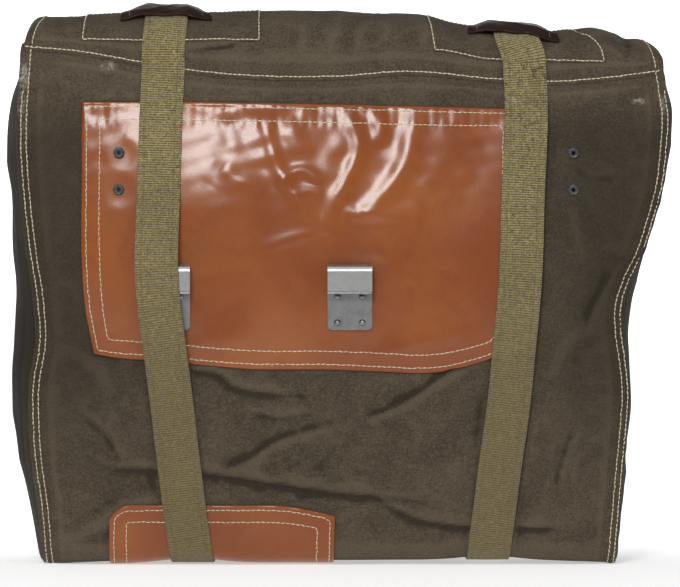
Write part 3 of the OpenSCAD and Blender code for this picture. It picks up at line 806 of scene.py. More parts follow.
def leather_finish(name, colour, gloss=0.75):
    """Glazed leather: a polished coat over a warm, uneven dye, with fine pores and rubbed spots."""
    f = Finish(name, Specular_IOR_Level=0.12, Coat_Roughness=0.20, Coat_IOR=1.5)
    at = f.place()
    broad = f.noise(at, 11, 3, 0.55)
    cloud = f.noise(at, 45, 4, 0.6, 0.4)
    pores = f.node("ShaderNodeTexVoronoi", {"feature": "DISTANCE_TO_EDGE"}, {"Vector": at, "Scale": 620.0})
    grain = f.noise(at, 900, 3, 0.6)
    scuff = f.noise(at, 120, 5, 0.7, 1.5, stretch=(1.0, 1.0, 3.5))
    warm = (colour[0], colour[1] * 1.22, colour[2] * 1.3)
    base = f.mix(broad.step(0.35, 0.68), shade(colour, 0.82), shade(warm, 1.10))
    deep = (colour[0] * 0.95, colour[1] * 0.8, colour[2] * 0.8)
    base = f.mix(cloud.step(0.45, 0.8) * 0.5, base, shade(deep, 0.76))
    base = f.mix(grain.step(0.58, 0.75) * 0.16, base, shade(colour, 1.5))
    pale = (colour[0], colour[1] * 1.3, colour[2] * 1.5)
    base = f.mix(scuff.step(0.66, 0.8) * 0.25, base, shade(pale, 1.35))
    # Painted shade: black in the rivets' open holes.
    bore_shade = painted_bore_shade(*f.parts(at))
    base = f.mix(bore_shade, base, BORE_SHADE_BLACK)
    rough = 0.36 + (cloud - 0.5) * 0.14 + grain * 0.06
    height = pores.step(0.0, 0.25) * 0.35 + grain * 0.45
    dimple = f.bump(f.noise(at, 95, 3, 0.6), 0.0010, 0.35, f.bump(f.noise(at, 520, 3, 0.7), 0.00040, 0.75))
    # No coat in the rivets' open holes, so their painted shade catches no highlight.
    coat = (gloss - 0.25 * scuff.step(0.5, 0.8)) * (1 - bore_shade)
    return f.done(Base_Color=base, Roughness=rough, Coat_Weight=coat,
                  Normal=f.bump(height, 0.00018, 0.6, dimple))


def webbing_finish(name, colour, stain=0.0):
    """Cotton webbing: ribs across and yarns along make small raised cells, with painted shade in
    the gaps between them and a painted highlight on the ribs' crests. Two lines run beside its
    denser selvedges. It is darker towards the bottom, with patches of grime, and old marks near the flap."""
    f = Finish(name, Specular_IOR_Level=0.12, Sheen_Weight=0.15, Sheen_Roughness=0.5)
    at, uv = f.place(), f.cloth()
    u, v, _ = f.parts(uv)
    wobble = f.noise(uv, 220, 2, 0.5)
    rib = (v * (2 * math.pi / 0.00195) + wobble * 2.4).sine()
    yarn = (u * (2 * math.pi / 0.00233) + wobble).sine()
    broad = f.noise(at, 16, 4, 0.6)
    fleck = f.noise(at, 480, 4, 0.75)
    base = f.mix(broad.step(0.3, 0.7), shade(colour, 0.92), shade(colour, 1.32))
    # Painted shade in the gaps between the ribs.
    base = f.mix(rib.step(0.15, -0.9) * 0.85, base, shade(colour, 0.24))
    # Painted highlight on the ribs' crests.
    base = f.mix(rib.step(0.0, 0.95) * 0.45, base, shade(colour, 1.75))
    # Painted shade in the gaps between the yarns.
    base = f.mix(yarn.step(-0.1, -0.95) * 0.26, base, shade(colour, 0.52))
    base = f.mix(fleck.step(0.5, 0.68) * 0.7, base, shade(colour, 1.8))
    base = f.mix(fleck.step(0.48, 0.32) * 0.8, base, shade(colour, 0.28))
    for line in (0.0052, 0.0298):
        base = f.mix((((u - line) ** 2.0) ** 0.5).step(0.0013, 0.0003) * 0.35, base, shade(colour, 0.5))
    z = f.parts(at)[2]
    grime = f.noise(at, 60, 4, 0.7).step(0.50, 0.72)
    base = f.mix(grime * 0.25, base, shade((colour[0] * 0.9, colour[1] * 0.75, colour[2] * 0.6), 0.62))
    # Darker towards the bottom.
    base = f.mix(z.step(0.34, 0.10) * 0.62, base, shade((colour[0], colour[1] * 0.93, colour[2]), 0.55))
    marks = f.noise(at, 150, 3, 0.75, 1.0).step(0.535, 0.64)
    lower = z.step(0.300, 0.385) * z.step(0.432, 0.405)
    base = f.mix(marks * lower * (0.75 * stain + 0.10), base, (0.075, 0.045, 0.028, 1))
    base = f.mix(f.noise(at, 210, 2, 0.7).step(0.66, 0.72) * 0.45, base, (0.07, 0.045, 0.03, 1))
    height = rib * 0.6 + yarn * 0.3 + fleck * 0.6
    return f.done(Base_Color=base, Roughness=0.82 + (fleck - 0.5) * 0.2, Normal=f.bump(height, 0.0004, 1.0))


def steel_finish(name, colour, rough=0.34, dark=0.55):
    """Plated steel dulled by use: fine brushing, a cloudy tarnish and small pits, and a painted highlight on
    the hooks' lips.
    """
    f = Finish(name, Metallic=1.0)
    at = f.place()
    brushed = f.noise(at, 1.0, 3, 0.7, stretch=(260, 900, 2600))
    cloud = f.noise(at, 140, 5, 0.65, 0.5)
    pit = f.noise(at, 900, 2, 0.5)
    base = f.mix(cloud.step(0.42, 0.72) * dark, shade(colour, 1.0), shade(colour, 0.45))
    base = f.mix(brushed.step(0.4, 0.7) * 0.35, base, shade(colour, 1.35))
    base = f.mix(pit.step(0.62, 0.75) * 0.4, base, shade(colour, 0.4))
    _, y, z = f.parts(at)
    # Painted highlight: the hooks' lips, which face up into the key light, are lightened.
    lip = (HOOKS[0][2] + 4) * MM
    painted_lip_highlight = z.step(lip, lip + 0.002) * z.step(lip + 0.030, lip + 0.028) * y.step(0.0, -0.02)
    base = f.mix(painted_lip_highlight * (0.15 + 0.4 * brushed), base, (0.60, 0.60, 0.59, 1))
    height = brushed * 0.5 + pit * 0.5
    return f.done(Base_Color=base, Roughness=rough + (cloud - 0.5) * 0.25,
                  Normal=f.bump(height, 0.00008, 0.6))


def board_finish(name, colour):
    """Plain birch board, with long grain."""
    f = Finish(name, Specular_IOR_Level=0.2)
    at = f.place()
    grain = f.noise(at, 1.0, 5, 0.6, 0.6, stretch=(14, 60, 260))
    base = f.mix(grain.step(0.35, 0.65), shade(colour, 0.8), shade(colour, 1.15))
    return f.done(Base_Color=base, Roughness=0.6 + grain * 0.1, Normal=f.bump(grain, 0.0003, 0.5))


def thread_finish(name, colour):
    """Waxed linen thread: off-white, greyed here and there, with a twist along it."""
    f = Finish(name, Specular_IOR_Level=0.2, Sheen_Weight=0.1)
    at = f.place()
    dirt = f.noise(at, 90, 4, 0.7)
    twist = f.noise(at, 1400, 2, 0.5)
    grey = (colour[0], colour[1] * 0.93, colour[2] * 0.78)
    base = f.mix(dirt.step(0.45, 0.75) * 0.6, shade(colour, 1.0), shade(grey, 0.62))
    base = f.mix(twist.step(0.4, 0.7) * 0.3, base, shade(colour, 0.7))
    return f.done(Base_Color=base, Roughness=0.7 + dirt * 0.1, Normal=f.bump(twist, 0.0002, 0.6))


# ---------------------------------------------------------------- settings


def colour_setting(name, description, default):
    return bpy.props.FloatVectorProperty(name=name, description=description, default=default, size=3,
                                         min=0, max=1, subtype="COLOR")


class SackCloth(bpy.types.PropertyGroup):
    canvas_colour: colour_setting("Canvas", "Colour of the proofed canvas", (0.083, 0.065, 0.044))
    canvas_t: bpy.props.FloatProperty(name="Canvas thickness", description="Thickness of the canvas in mm",
                                      default=1.6, min=0.8, max=3)
    webbing_colour: colour_setting("Webbing", "Colour of the cotton webbing", (0.25, 0.205, 0.098))
    strap_w: bpy.props.FloatProperty(name="Strap width", description="Width of the webbing in mm",
                                     default=35, min=25, max=40)
    thread_colour: colour_setting("Thread", "Colour of the sewing thread", (0.74, 0.67, 0.48))
    stitch: bpy.props.FloatProperty(name="Stitch", description="Length of a stitch in mm",
                                    default=3.8, min=2, max=8)


class SackTrim(bpy.types.PropertyGroup):
    leather_colour: colour_setting("Leather", "Colour of the glazed leather", (0.262, 0.060, 0.0095))
    leather_t: bpy.props.FloatProperty(name="Leather thickness", description="Thickness of the leather in mm",
                                       default=1.8, min=1, max=3)
    keeper_colour: colour_setting("Keepers", "Colour of the strap keepers", (0.025, 0.0095, 0.006))
    steel_colour: colour_setting("Steel", "Colour of the hooks and buckles", (0.25, 0.25, 0.25))
    board_colour: colour_setting("Stiffener", "Colour of the stiffener board", (0.42, 0.28, 0.15))


class SackStudio(bpy.types.PropertyGroup):
    floor_colour: colour_setting("Floor", "Colour of the floor and backdrop", (0.86, 0.86, 0.86))
    distance: bpy.props.FloatProperty(name="Camera distance", description="From the camera to the sack",
                                      default=4.5, min=1, max=10, unit="LENGTH")
    height: bpy.props.FloatProperty(name="Aim height", description="Height that the camera looks at",
                                    default=0.2215, min=0, max=1, unit="LENGTH")


def cloth():
    return bpy.context.scene.mail_sack_cloth


def trim():
    return bpy.context.scene.mail_sack_trim


def finish(kind):
    """The material of a kind, made the first time that it is asked for."""
    name = "sack_" + kind
    found = bpy.data.materials.get(name)
    if found:
        return found
    c, t = cloth(), trim()
    if kind == "canvas":
        return canvas_finish(name, c.canvas_colour)
    # The gussets get a darker copy of the canvas as painted shade.
    if kind == "gusset_canvas":
        return canvas_finish(name, shade(c.canvas_colour, 0.55)[:3])
    if kind == "hook_leather":
        return leather_finish(name, t.leather_colour)
    if kind == "keeper_leather":
        return leather_finish(name, t.keeper_colour, 0.06)
    if kind == "webbing":
        return webbing_finish(name, c.webbing_colour)
    if kind == "stained_webbing":
        return webbing_finish(name, c.webbing_colour, 0.9)
    if kind == "thread":
        return thread_finish(name, c.thread_colour)
    if kind == "keeper_thread":
        return thread_finish(name, shade(c.thread_colour, 0.2)[:3])
    if kind == "steel":
        return steel_finish(name, t.steel_colour)
    if kind == "rivet_steel":
        return steel_finish(name, (0.09, 0.092, 0.09), 0.42, 0.5)
    if kind == "board":
        return board_finish(name, t.board_colour)
    raise ValueError(f"no finish is named {kind}")


def seam_blend(piece):
    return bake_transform(piece)


def fold_blend(piece):
    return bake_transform(piece)


def creasing(outer):
    """How far each point of a sheet stands above the mean of those round it, from -1 in the
    bottoms of creases to 1 on crests: the canvas darkens crease bottoms from it as painted shade,
    and lightens crests where they are scuffed."""
    mean, high = outer.copy(), 0
    for k in range(24):
        for axis in (0, 1):
            mean = (np.roll(mean, 1, axis) + 2 * mean + np.roll(mean, -1, axis)) / 4
        if k in (3, 23):
            high = high + ((outer - mean) * grid_normals(outer)).sum(-1) * (0.6 if k == 3 else 0.22)
    border = np.ones(high.shape)
    for k in range(9):
        border[[k, -1 - k], :] *= 0.0 if k < 5 else 0.5
        border[:, [k, -1 - k]] *= 0.0 if k < 5 else 0.5
    return np.clip(high * border / 0.42, -1, 1)


def shell(name, outer, thickness, kind, node, turned=False):
    vertices, faces, uv = sheet_shell(outer, thickness, turned)
    piece = make(name, vertices, faces, uv, finish(kind))
    if kind.endswith("canvas"):
        # The canvas carries its crease relief: scuffing on crests, painted shade in crease bottoms.
        wear = piece.data.attributes.new("wear", "FLOAT", "POINT")
        crest_wear_crease_shade_values = creasing(outer).reshape(-1) * (-1 if turned else 1)
        wear.data.foreach_set("value", np.concatenate([crest_wear_crease_shade_values, crest_wear_crease_shade_values]).astype(np.float32))
    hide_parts(node)
    return piece


# ---------------------------------------------------------------- pieces


# How far the two large sides reach past their seams' stitching.
SEAM_LAP = 1.5


def panel_grid(side, columns, rows, top):
    """A large side's points: t runs across from seam to seam, and the rows run from the turn
    under the sack up to top, which is a height for each place across."""
    t = np.linspace(0, 1, columns)[None]
    r = np.linspace(0, 1, rows)[:, None]
    foot_x = left_seam(0.0) + (right_seam(0.0) - left_seam(0.0)) * t
    top_x = left_seam(400.0) + (right_seam(400.0) - left_seam(400.0)) * t
    h = (hem(foot_x) + BEND * (1 - np.pi / 2)) * (1 - r) + top(top_x) * r
    z = np.maximum(h, 0)
    x = (left_seam(z) - SEAM_LAP) * (1 - t) + (right_seam(z) + SEAM_LAP) * t
    return wall(side, x, h)


class MAILSACK_OT_panels(bpy.types.Operator):
    """The two large canvas sides and the bottom"""
    bl_idname = "mailsack.panels"
    bl_label = "Canvas sides and bottom"

    def execute(self, context):
        t = cloth().canvas_t
        front = panel_grid(-1, 240, 198, lambda x: through(FLAP_SEAM, x) - 1)
        piece = shell("carrier_canvas", front, t, "canvas", "carrier_panel")
        seam_blend(piece)
        back = panel_grid(1, 150, 130, lambda x: BAG_TOP + 0 * x)
        piece = shell("outer_canvas", back, t, "canvas", "outer_panel", turned=True)
        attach(piece, "sack")
        s = np.linspace(0, 1, 120)[:, None]
        q = np.linspace(-1, 1, 30)[None]
        x = left_seam(0.0) - SEAM_LAP + (right_seam(0.0) - left_seam(0.0) + 2 * SEAM_LAP) * s
        foot = hem(x) + BEND
        near, far = face(-1, x, foot) - BEND, face(1, x, foot) - BEND
        y = np.where(q < 0, q * near, q * far)
        z = hem(x) + 0.5 * ripple(x, y, 141, 70) * (1 - q**2) + 0 * q
        under = np.stack([x + 0 * q, CENTRE_Y + y, z], -1)
        piece = shell("bottom_canvas", under, t, "canvas", "bottom_panel")
        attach(piece, "sack")
        return {"FINISHED"}


class MAILSACK_OT_gussets(bpy.types.Operator):
    """The gussets at the two ends, swollen past their seams"""
    bl_idname = "mailsack.gussets"
    bl_label = "Gussets"

    def execute(self, context):
        for name, sign in (("left", -1), ("right", 1)):
            z = np.linspace(1.5, BAG_TOP, 110)[:, None]
            q = np.linspace(-1, 1, 46)[None]
            seam = left_seam(z) if sign < 0 else right_seam(z)
            bulge = through(LEFT_SWELL if sign < 0 else RIGHT_SWELL, z) + 1.5
            inside = np.maximum(0, BEND - z)
            edge = seam_depth(z) - 2.2 - (BEND - np.sqrt(np.maximum(0, BEND**2 - inside**2)))
            y = q * edge
            shape = (1 - np.abs(q) ** 2.6) ** 0.8
            pinch = 0.30 * bell(q / 0.25) * ease((z - 40) / 80) * ease((390 - z) / 60)
            wrinkle = 0.8 * rumple(y, z, 151 + sign, 120) + 1.1 * ripple(y, z, 161 + sign, 70)
            lift = 3.0 + (bulge - 3.0) * (shape - pinch) + wrinkle * shape * 0.8
            grid = np.stack([seam + sign * lift, CENTRE_Y + y + 0 * z, z + 0 * q], -1)
            # The gussets' finish is the canvas darkened as painted shade.
            piece = shell(f"{name}_gusset_canvas", grid, cloth().canvas_t, "gusset_canvas",
                          f"{name}_gusset", turned=sign > 0)
            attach(piece, "sack")
        return {"FINISHED"}


def seam_path(sign, top, width=0.0, out=0.0):
    """The side seam's course: down the carrier side, under the gusset and up the outer side.
    Gives the points, and the outward direction of the cloth at each."""
    seam = left_seam if sign < 0 else right_seam
    down = np.linspace(top, BEND * (1 - np.pi / 2), 110)
    under = np.linspace(-1, 1, 15)[1:-1]
    up = np.linspace(BEND * (1 - np.pi / 2), BAG_TOP - 1, 100)
    x1, x2 = seam(np.maximum(down, 0)) + sign * width, seam(np.maximum(up, 0)) + sign * width
    a, b = flat_wall(-1, x1, down, sign), flat_wall(1, x2, up, sign)
    mid = a[-1] + (b[0] - a[-1]) * ((under + 1) / 2)[:, None]
    path = np.concatenate([a, mid, b])
    d = along_path(path)
    inward = np.array([1.0, 0, 0])
    n = np.cross(d, inward)
    n /= np.linalg.norm(n, axis=1, keepdims=True)
    n = np.where((n * (path - np.array([0, CENTRE_Y, 200]))).sum(1, keepdims=True) < 0, -n, n)
    return path + n * out, n


def flat_wall(side, x, h, sign):
    """The side seam's own plane: the seam's depth, with the bend at the foot and no lift."""
    over = np.maximum(0, BEND - h)
    turn = np.minimum(over / BEND, np.pi / 2)
    d = face(side, x - sign * 1.0, np.maximum(h, BEND)) - BEND * (1 - np.cos(turn))
    z = np.where(h >= BEND, h, BEND - BEND * np.sin(turn))
    return np.stack([x, CENTRE_Y + side * d, z], -1)


class MAILSACK_OT_seams(bpy.types.Operator):
    """The side seams: cloth folded together, raised between two rows of stitching"""
    bl_idname = "mailsack.seams"
    bl_label = "Side seams"

    def execute(self, context):
        for name, sign, wide in (("left", -1, 8.4), ("right", 1, 6.6)):
            path, n = seam_path(sign, 424.0 if sign < 0 else 402.0)
            path = even(np.concatenate([path, n], 1), 3.0)
            path, n = path[:, :3], path[:, 3:]
            n /= np.linalg.norm(n, axis=1, keepdims=True)
            path[:, 2] = np.maximum(path[:, 2], 0.2)
            side = np.tile([float(sign), 0, 0], (len(path), 1))
            x = np.array([-2.6, -2.2, -1.0, 0.0, 1.0, 2.3, 3.6, 4.5, 5.4, wide - 0.8, wide, wide - 0.5,
                          wide - 2, 2.0, -2.0, -2.6])
            y = np.array([-0.9, -0.1, 0.5, 0.25, 0.95, 1.35, 1.0, 0.45, 0.85, 0.4, -1.1, -2.4, -3.2,
                          -3.0, -2.4, -1.6])
            profile = np.stack([x, y], 1)
            if sign > 0:
                profile = profile[::-1]
            wave = 0.5 * np.sin(np.arange(len(path)) * 0.9) + 0.4 * np.sin(np.arange(len(path)) * 0.37)
            shaped = np.repeat(profile[None], len(path), 0)
            shaped[..., 1] += (0.35 * wave)[:, None] * ((shaped[..., 0] > 1) & (shaped[..., 1] > 0))
            outer = shaped[..., 0] > wide - 3
            shaped[..., 0] += 0.8 * (0.6 * wave[:, None]) * outer
            low = path[:, None] + shaped[..., :1] * side[:, None] + shaped[..., 1:] * n[:, None]
            lift = np.maximum(0, 0.05 - low[..., 2].min(1))
            path[:, 2] += lift
            vertices, faces, uv = carried(path, side, n, shaped)
            piece = make(f"{name}_seam_canvas", vertices, faces, uv, finish("canvas"))
            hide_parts(f"{name}_binding")
            seam_blend(piece)
            inner, n1 = seam_path(sign, 424.0 if sign < 0 else 402.0, 0.0, 0.55)
            second, n2 = seam_path(sign, 386.0, 4.4, 1.35)
            rows = [(inner, n1), (second, n2)]
            rows = [(p, k) for p, k in ((np.where(p[:, 2:] < 0.9, p + [0, 0, 0.6], p), k) for p, k in rows)]
            piece = thread(rows, finish("thread"), f"{name}_seam_thread", None, cloth().stitch, 0.46,
                           5 + sign)
            seam_blend(piece)
        return {"FINISHED"}


class MAILSACK_OT_leather(bpy.types.Operator):
    """The glazed hook panel and the wear patch at the foot, each with two rows of stitching"""
    bl_idname = "mailsack.leather"
    bl_label = "Leather panel and patch"

    def execute(self, context):
        t = trim().leather_t
        grid = hook_panel_grid(np.linspace(0, 1, 230)[None], np.linspace(0, 1, 150)[:, None], 0.25 + t)
        piece = shell("hook_panel_leather", grid, t, "hook_leather", "hook_panel")
        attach(piece, "sack")
        rows = []
        for inset, corner in ((4.2, 3), (14.5, 4)):
            rows += panel_rows(inset, corner, 0.25 + t)
        thread(rows, finish("thread"), "hook_panel_thread", "sack", 4.1, 0.40, 9)
        u, v = np.linspace(0, 1, 110)[None], np.linspace(0, 1, 60)[:, None]
        grid = foot_patch_grid(u, v, 0.25 + t)
        piece = shell("bottom_patch_leather", grid, t, "hook_leather", "bottom_patch")
        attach(piece, "sack")
        rows = [foot_row(4.0, 0.25 + t), foot_row(14.0, 0.25 + t)]
        thread(rows, finish("thread"), "bottom_patch_thread", "sack", 4.1, 0.40, 10)
        return {"FINISHED"}


def hook_panel_place(u, v):
    """A place on the hook panel, as (x, z): its four edges are slightly bowed lines."""
    z = 160 + 215 * v
    x = through(LEATHER_LEFT, z) * (1 - u) + through(LEATHER_RIGHT, z) * u
    z = through(LEATHER_LOW, x) * (1 - v) + through(LEATHER_TOP, x) * v
    x = through(LEATHER_LEFT, z) * (1 - u) + through(LEATHER_RIGHT, z) * u
    return x, z


def hook_panel_grid(u, v, out):
    x, z = hook_panel_place(u, v)
    return wall(-1, x, z, out + 0 * z)


def panel_rows(inset, corner, out):
    """A row of stitching all round the hook panel, with its corners cut short."""
    rows = []
    u0, u1 = inset / 348, 1 - inset / 348
    v0, v1 = inset / 208, 1 - inset / 205
    cu, cv = corner / 348, corner / 208
    course = [(u0 + cu * 0.3, v0), (u1 - cu, v0), (u1, v0 + cv), (u1, v1 - cv), (u1 - cu, v1),
              (u0 + cu * 0.3, v1), (u0, v1 - cv * 0.3), (u0, v0 + cv * 0.3), (u0 + cu * 0.3, v0)]
    for (ua, va), (ub, vb) in zip(course[:-1], course[1:]):
        s = np.linspace(0, 1, 90)
        x, z = hook_panel_place(ua + (ub - ua) * s, va + (vb - va) * s)
        line = even(np.stack([x, z], 1), 2.0)
        x, z = line[:, 0], line[:, 1]
        n = wall_normal(-1, x, z)
        rows.append((wall(-1, x, z) + n * (out + 0.1), n))
    return rows


def foot_patch_grid(u, v, out):
    """The wear patch: from a slightly uneven top edge down, round the turn and under."""
    x, h = foot_patch_place(u, v)
    return wall(-1, x, h, out + 0 * h)


def foot_patch_place(u, v):
    top = 49.5 - 12 * np.clip(1 - u / 0.09, 0, 1) ** 2 - 9 * np.clip((u - 0.72) / 0.28, 0, 1) ** 1.6
    low = hem(-96.0) + BEND * (1 - np.pi / 2) - 26
    x = -187.5 + (183.5 - 2 * (1 - v)) * u
    return x, low + (top - low) * v


def foot_row(inset, out):
    u0, u1, v1 = inset / 183, 1 - inset / 183, 1 - inset / 82
    u = np.concatenate([np.full(40, u0), np.linspace(u0, u1, 80), np.full(40, u1)])
    v = np.concatenate([np.linspace(0.3, v1, 40), np.full(80, v1), np.linspace(v1, 0.3, 40)])
    line = even(np.stack(np.broadcast_arrays(*foot_patch_place(u, v)), 1), 2.0)
    n = wall_normal(-1, line[:, 0], line[:, 1])
    return wall(-1, line[:, 0], line[:, 1]) + n * (out + 0.1), n


def strap_course(stations, name):
    """A strap's middle line, from the outer side of the flap over its crown, down the carrier
    side, under the sack and up the outer side to the buckle. Also its outward directions."""
    a = np.linspace(176, 3, 90)
    here = float(through(stations, 402.0))
    x = here + (through(stations, 440.0) - here) * ease((a - 10) / 38)
    top = crown(x, a, 1.0 + STRAP_T / 2 + 1.8 * bell((a - 50) / 34))
    seam = float(through(FLAP_SEAM, np.array(through(stations, 400.0))))
    h = np.linspace(seam - 4, -40, 150)
    x = through(stations, np.maximum(h, -50))
    cover = np.max([over_leather(x + k, h) for k in (-16, -8, 0, 8, 16)], axis=0)
    out = 1.4 + STRAP_T / 2 + cover * 2.6
    if name == "left":
        lip = CENTRE_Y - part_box("left_hook")[0][1] / MM + 0.6 + STRAP_T / 2
        flat = smooth_face_wall(-1, x, h, 0 * h)[:, 1]
        tent = np.clip(1 - np.maximum(0, np.abs(h - HOOKS[0][2]) - 29) / 62, 0, 1) ** 1.1
        out = out + (lip - (CENTRE_Y - flat) - out) * tent
    out = out + 2.2 * ease((54 - h) / 6) * (name == "left")
    down = smooth_face_wall(-1, x, h, out)
    h = np.linspace(-40, BAR_Z - 5.5, 60)
    x = abs_strap(h) * (-1 if name == "left" else 1)
    up = smooth_face_wall(1, x, h, 1.4 + STRAP_T / 2 + 0 * h)
    path = np.concatenate([top, down, up])
    keep = np.concatenate([[True], np.linalg.norm(np.diff(path, axis=0), axis=1) > 1e-3])
    path = even(path[keep], 2.6)
    for _ in range(6):
        path[1:-1] = (path[:-2] + 2 * path[1:-1] + path[2:]) / 4
    d = along_path(path)
    n = np.cross(d, np.array([1.0, 0, 0]))
    n /= np.linalg.norm(n, axis=1, keepdims=True)
    n = np.where((n * (path - np.array([0, CENTRE_Y, 220]))).sum(1, keepdims=True) < 0, -n, n)
    side = np.cross(n, d)
    return path, n, side / np.linalg.norm(side, axis=1, keepdims=True)


def abs_strap(h):
    """The straps' distance from the middle on the outer side, by height."""
    return 120.5 + (BUCKLE[0] - 120.5) * np.sin(np.pi / 2 * np.clip(h / BAR_Z, 0, 1))


def smooth_face_wall(side, x, h, out):
    """The sack's wall without its small folds, which a tight strap spans."""
    foot = hem(x) + BEND
    over = np.maximum(0, foot - h)
    turn = np.minimum(over / BEND, np.pi / 2)
    level = np.maximum(0, over - BEND * np.pi / 2)
    z = np.maximum(h, foot)
    low, high = left_seam(z), right_seam(z)
    d = seam_depth(z) + swell(z) * across(2 * (x - low) / (high - low) - 1) - 1.4
    r = BEND + out
    d = d - BEND + r * np.cos(turn) - level
    return np.stack([x, CENTRE_Y + side * d, np.where(h >= foot, h, foot - r * np.sin(turn))], -1)


class MAILSACK_OT_straps(bpy.types.Operator):
    """The webbing straps, with the loops that hold their buckles and their free tails"""
    bl_idname = "mailsack.straps"
    bl_label = "Webbing straps"

    def execute(self, context):
        width = cloth().strap_w
        for name, stations, kind, sign in (("left", LEFT_STRAP, "webbing", -1),
                                           ("right", RIGHT_STRAP, "stained_webbing", 1)):
            path, n, side = strap_course(stations, name)
            profile = strap_profile(width, STRAP_T)
            vertices, faces, uv = carried(path, side, n, profile)
            piece = make(f"{name}_strap_webbing", vertices, faces, uv, finish(kind))
            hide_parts(f"{name}_strap", f"{name}_strap_top")
            seam_blend(piece)
            self.drop_and_tail(name, profile)
            self.chape(name, sign, profile)
        return {"FINISHED"}

    def drop_and_tail(self, name, profile):
        """The strap's run down the flap's drop, and its tail below the drop's hem."""
        x = middle(f"{name}_strap_drop")[0]
        z = np.linspace(411, 236, 80)
        path = drop(x + 0 * z, np.minimum(z, FOLD_Z), 1.9 + STRAP_T / 2)
        path[:, 2] = z
        path[:, 1] = np.where(z > FOLD_Z, path[np.argmax(z <= FOLD_Z), 1], path[:, 1])
        tail_z = np.linspace(236, TAIL_LOW, 46)
        tail_y = path[-1, 1] + (TAIL_Y - path[-1, 1]) * ease((236 - tail_z) / 14)
        tail = np.stack([x + 0 * tail_z, tail_y, tail_z], -1)
        for label, line, node, blend in ((f"{name}_strap_drop_webbing", path, f"{name}_strap_drop", True),
                                         (f"{name}_tail_webbing", tail, f"{name}_tail", False)):
            d = along_path(line)
            n = np.cross(np.array([1.0, 0, 0]), d)
            n = np.where(n[:, 1:2] < 0, -n, n)
            side = np.cross(n, d)
            vertices, faces, uv = carried(line, side, n, profile)
            piece = make(label, vertices, faces, uv, finish("webbing"))
            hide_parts(node)
            if blend:
                fold_blend(piece)
            else:
                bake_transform(piece)

    def chape(self, name, sign, profile):
        """The loop round the buckle's bar: its two halves beside the tongue, and the sewn end."""
        bx, by = middle(f"{name}_buckle")[:2]
        r = 2.1 + STRAP_T / 2
        turn = np.linspace(np.pi * 1.18, -0.12 * np.pi, 26)
        loop = np.stack([by + r * np.cos(turn), BAR_Z + r * np.sin(turn)], -1)
        z = np.linspace(BAR_Z - 5.5, BAR_Z - 36, 16)
        strap_face = smooth_face_wall(1, abs_strap(z) * sign, z, 1.4 + STRAP_T + STRAP_T / 2 + 0.3)[:, 1]
        lay = ease((BAR_Z - z - 2) / 16)
        leg = np.stack([by + r * (1 - lay) + (strap_face - by) * lay, z], -1)
        course = even(np.concatenate([loop, leg]), 1.4)
        slit = course[:, 1] > BAR_Z - 13
        whole = ~slit | np.roll(~slit, -1)
        half = profile * np.array([0.385, 1])
        vertices, faces, uv, base = [], [], [], 0
        for shift, part, section in ((-10.75, course[slit], half), (10.75, course[slit], half),
                                     (0, course[whole], profile)):
            path = np.stack([bx + shift + 0 * part[:, 0], part[:, 0], part[:, 1]], -1)
            d = along_path(path)
            n = np.stack([0 * d[:, 0], -d[:, 2], d[:, 1]], -1)
            n /= np.linalg.norm(n, axis=1, keepdims=True)
            pv, pf, pu = carried(path, np.cross(n, d), n, section)
            vertices.append(pv)
            faces += [[i + base for i in one] for one in pf]
            uv.append(pu)
            base += len(pv)
        piece = make(f"{name}_chape_webbing", np.concatenate(vertices), faces, np.concatenate(uv),
                     finish("webbing"))
        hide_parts(f"{name}_chape")
        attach(piece, "sack")
        rows = []
        for zz in (BAR_Z - 17, BAR_Z - 31):
            x = np.linspace(bx - 14, bx + 14, 30)
            i = np.interp(zz, course[::-1, 1][:20], course[::-1, 0][:20])
            points = np.stack([x, 0 * x + i + STRAP_T / 2 + 0.25, 0 * x + zz], -1)
            rows.append((points, np.tile([0.0, 1, 0.1], (30, 1))))
        thread(rows, finish("thread"), f"{name}_chape_thread", "sack", 3.2, 0.42, 14)


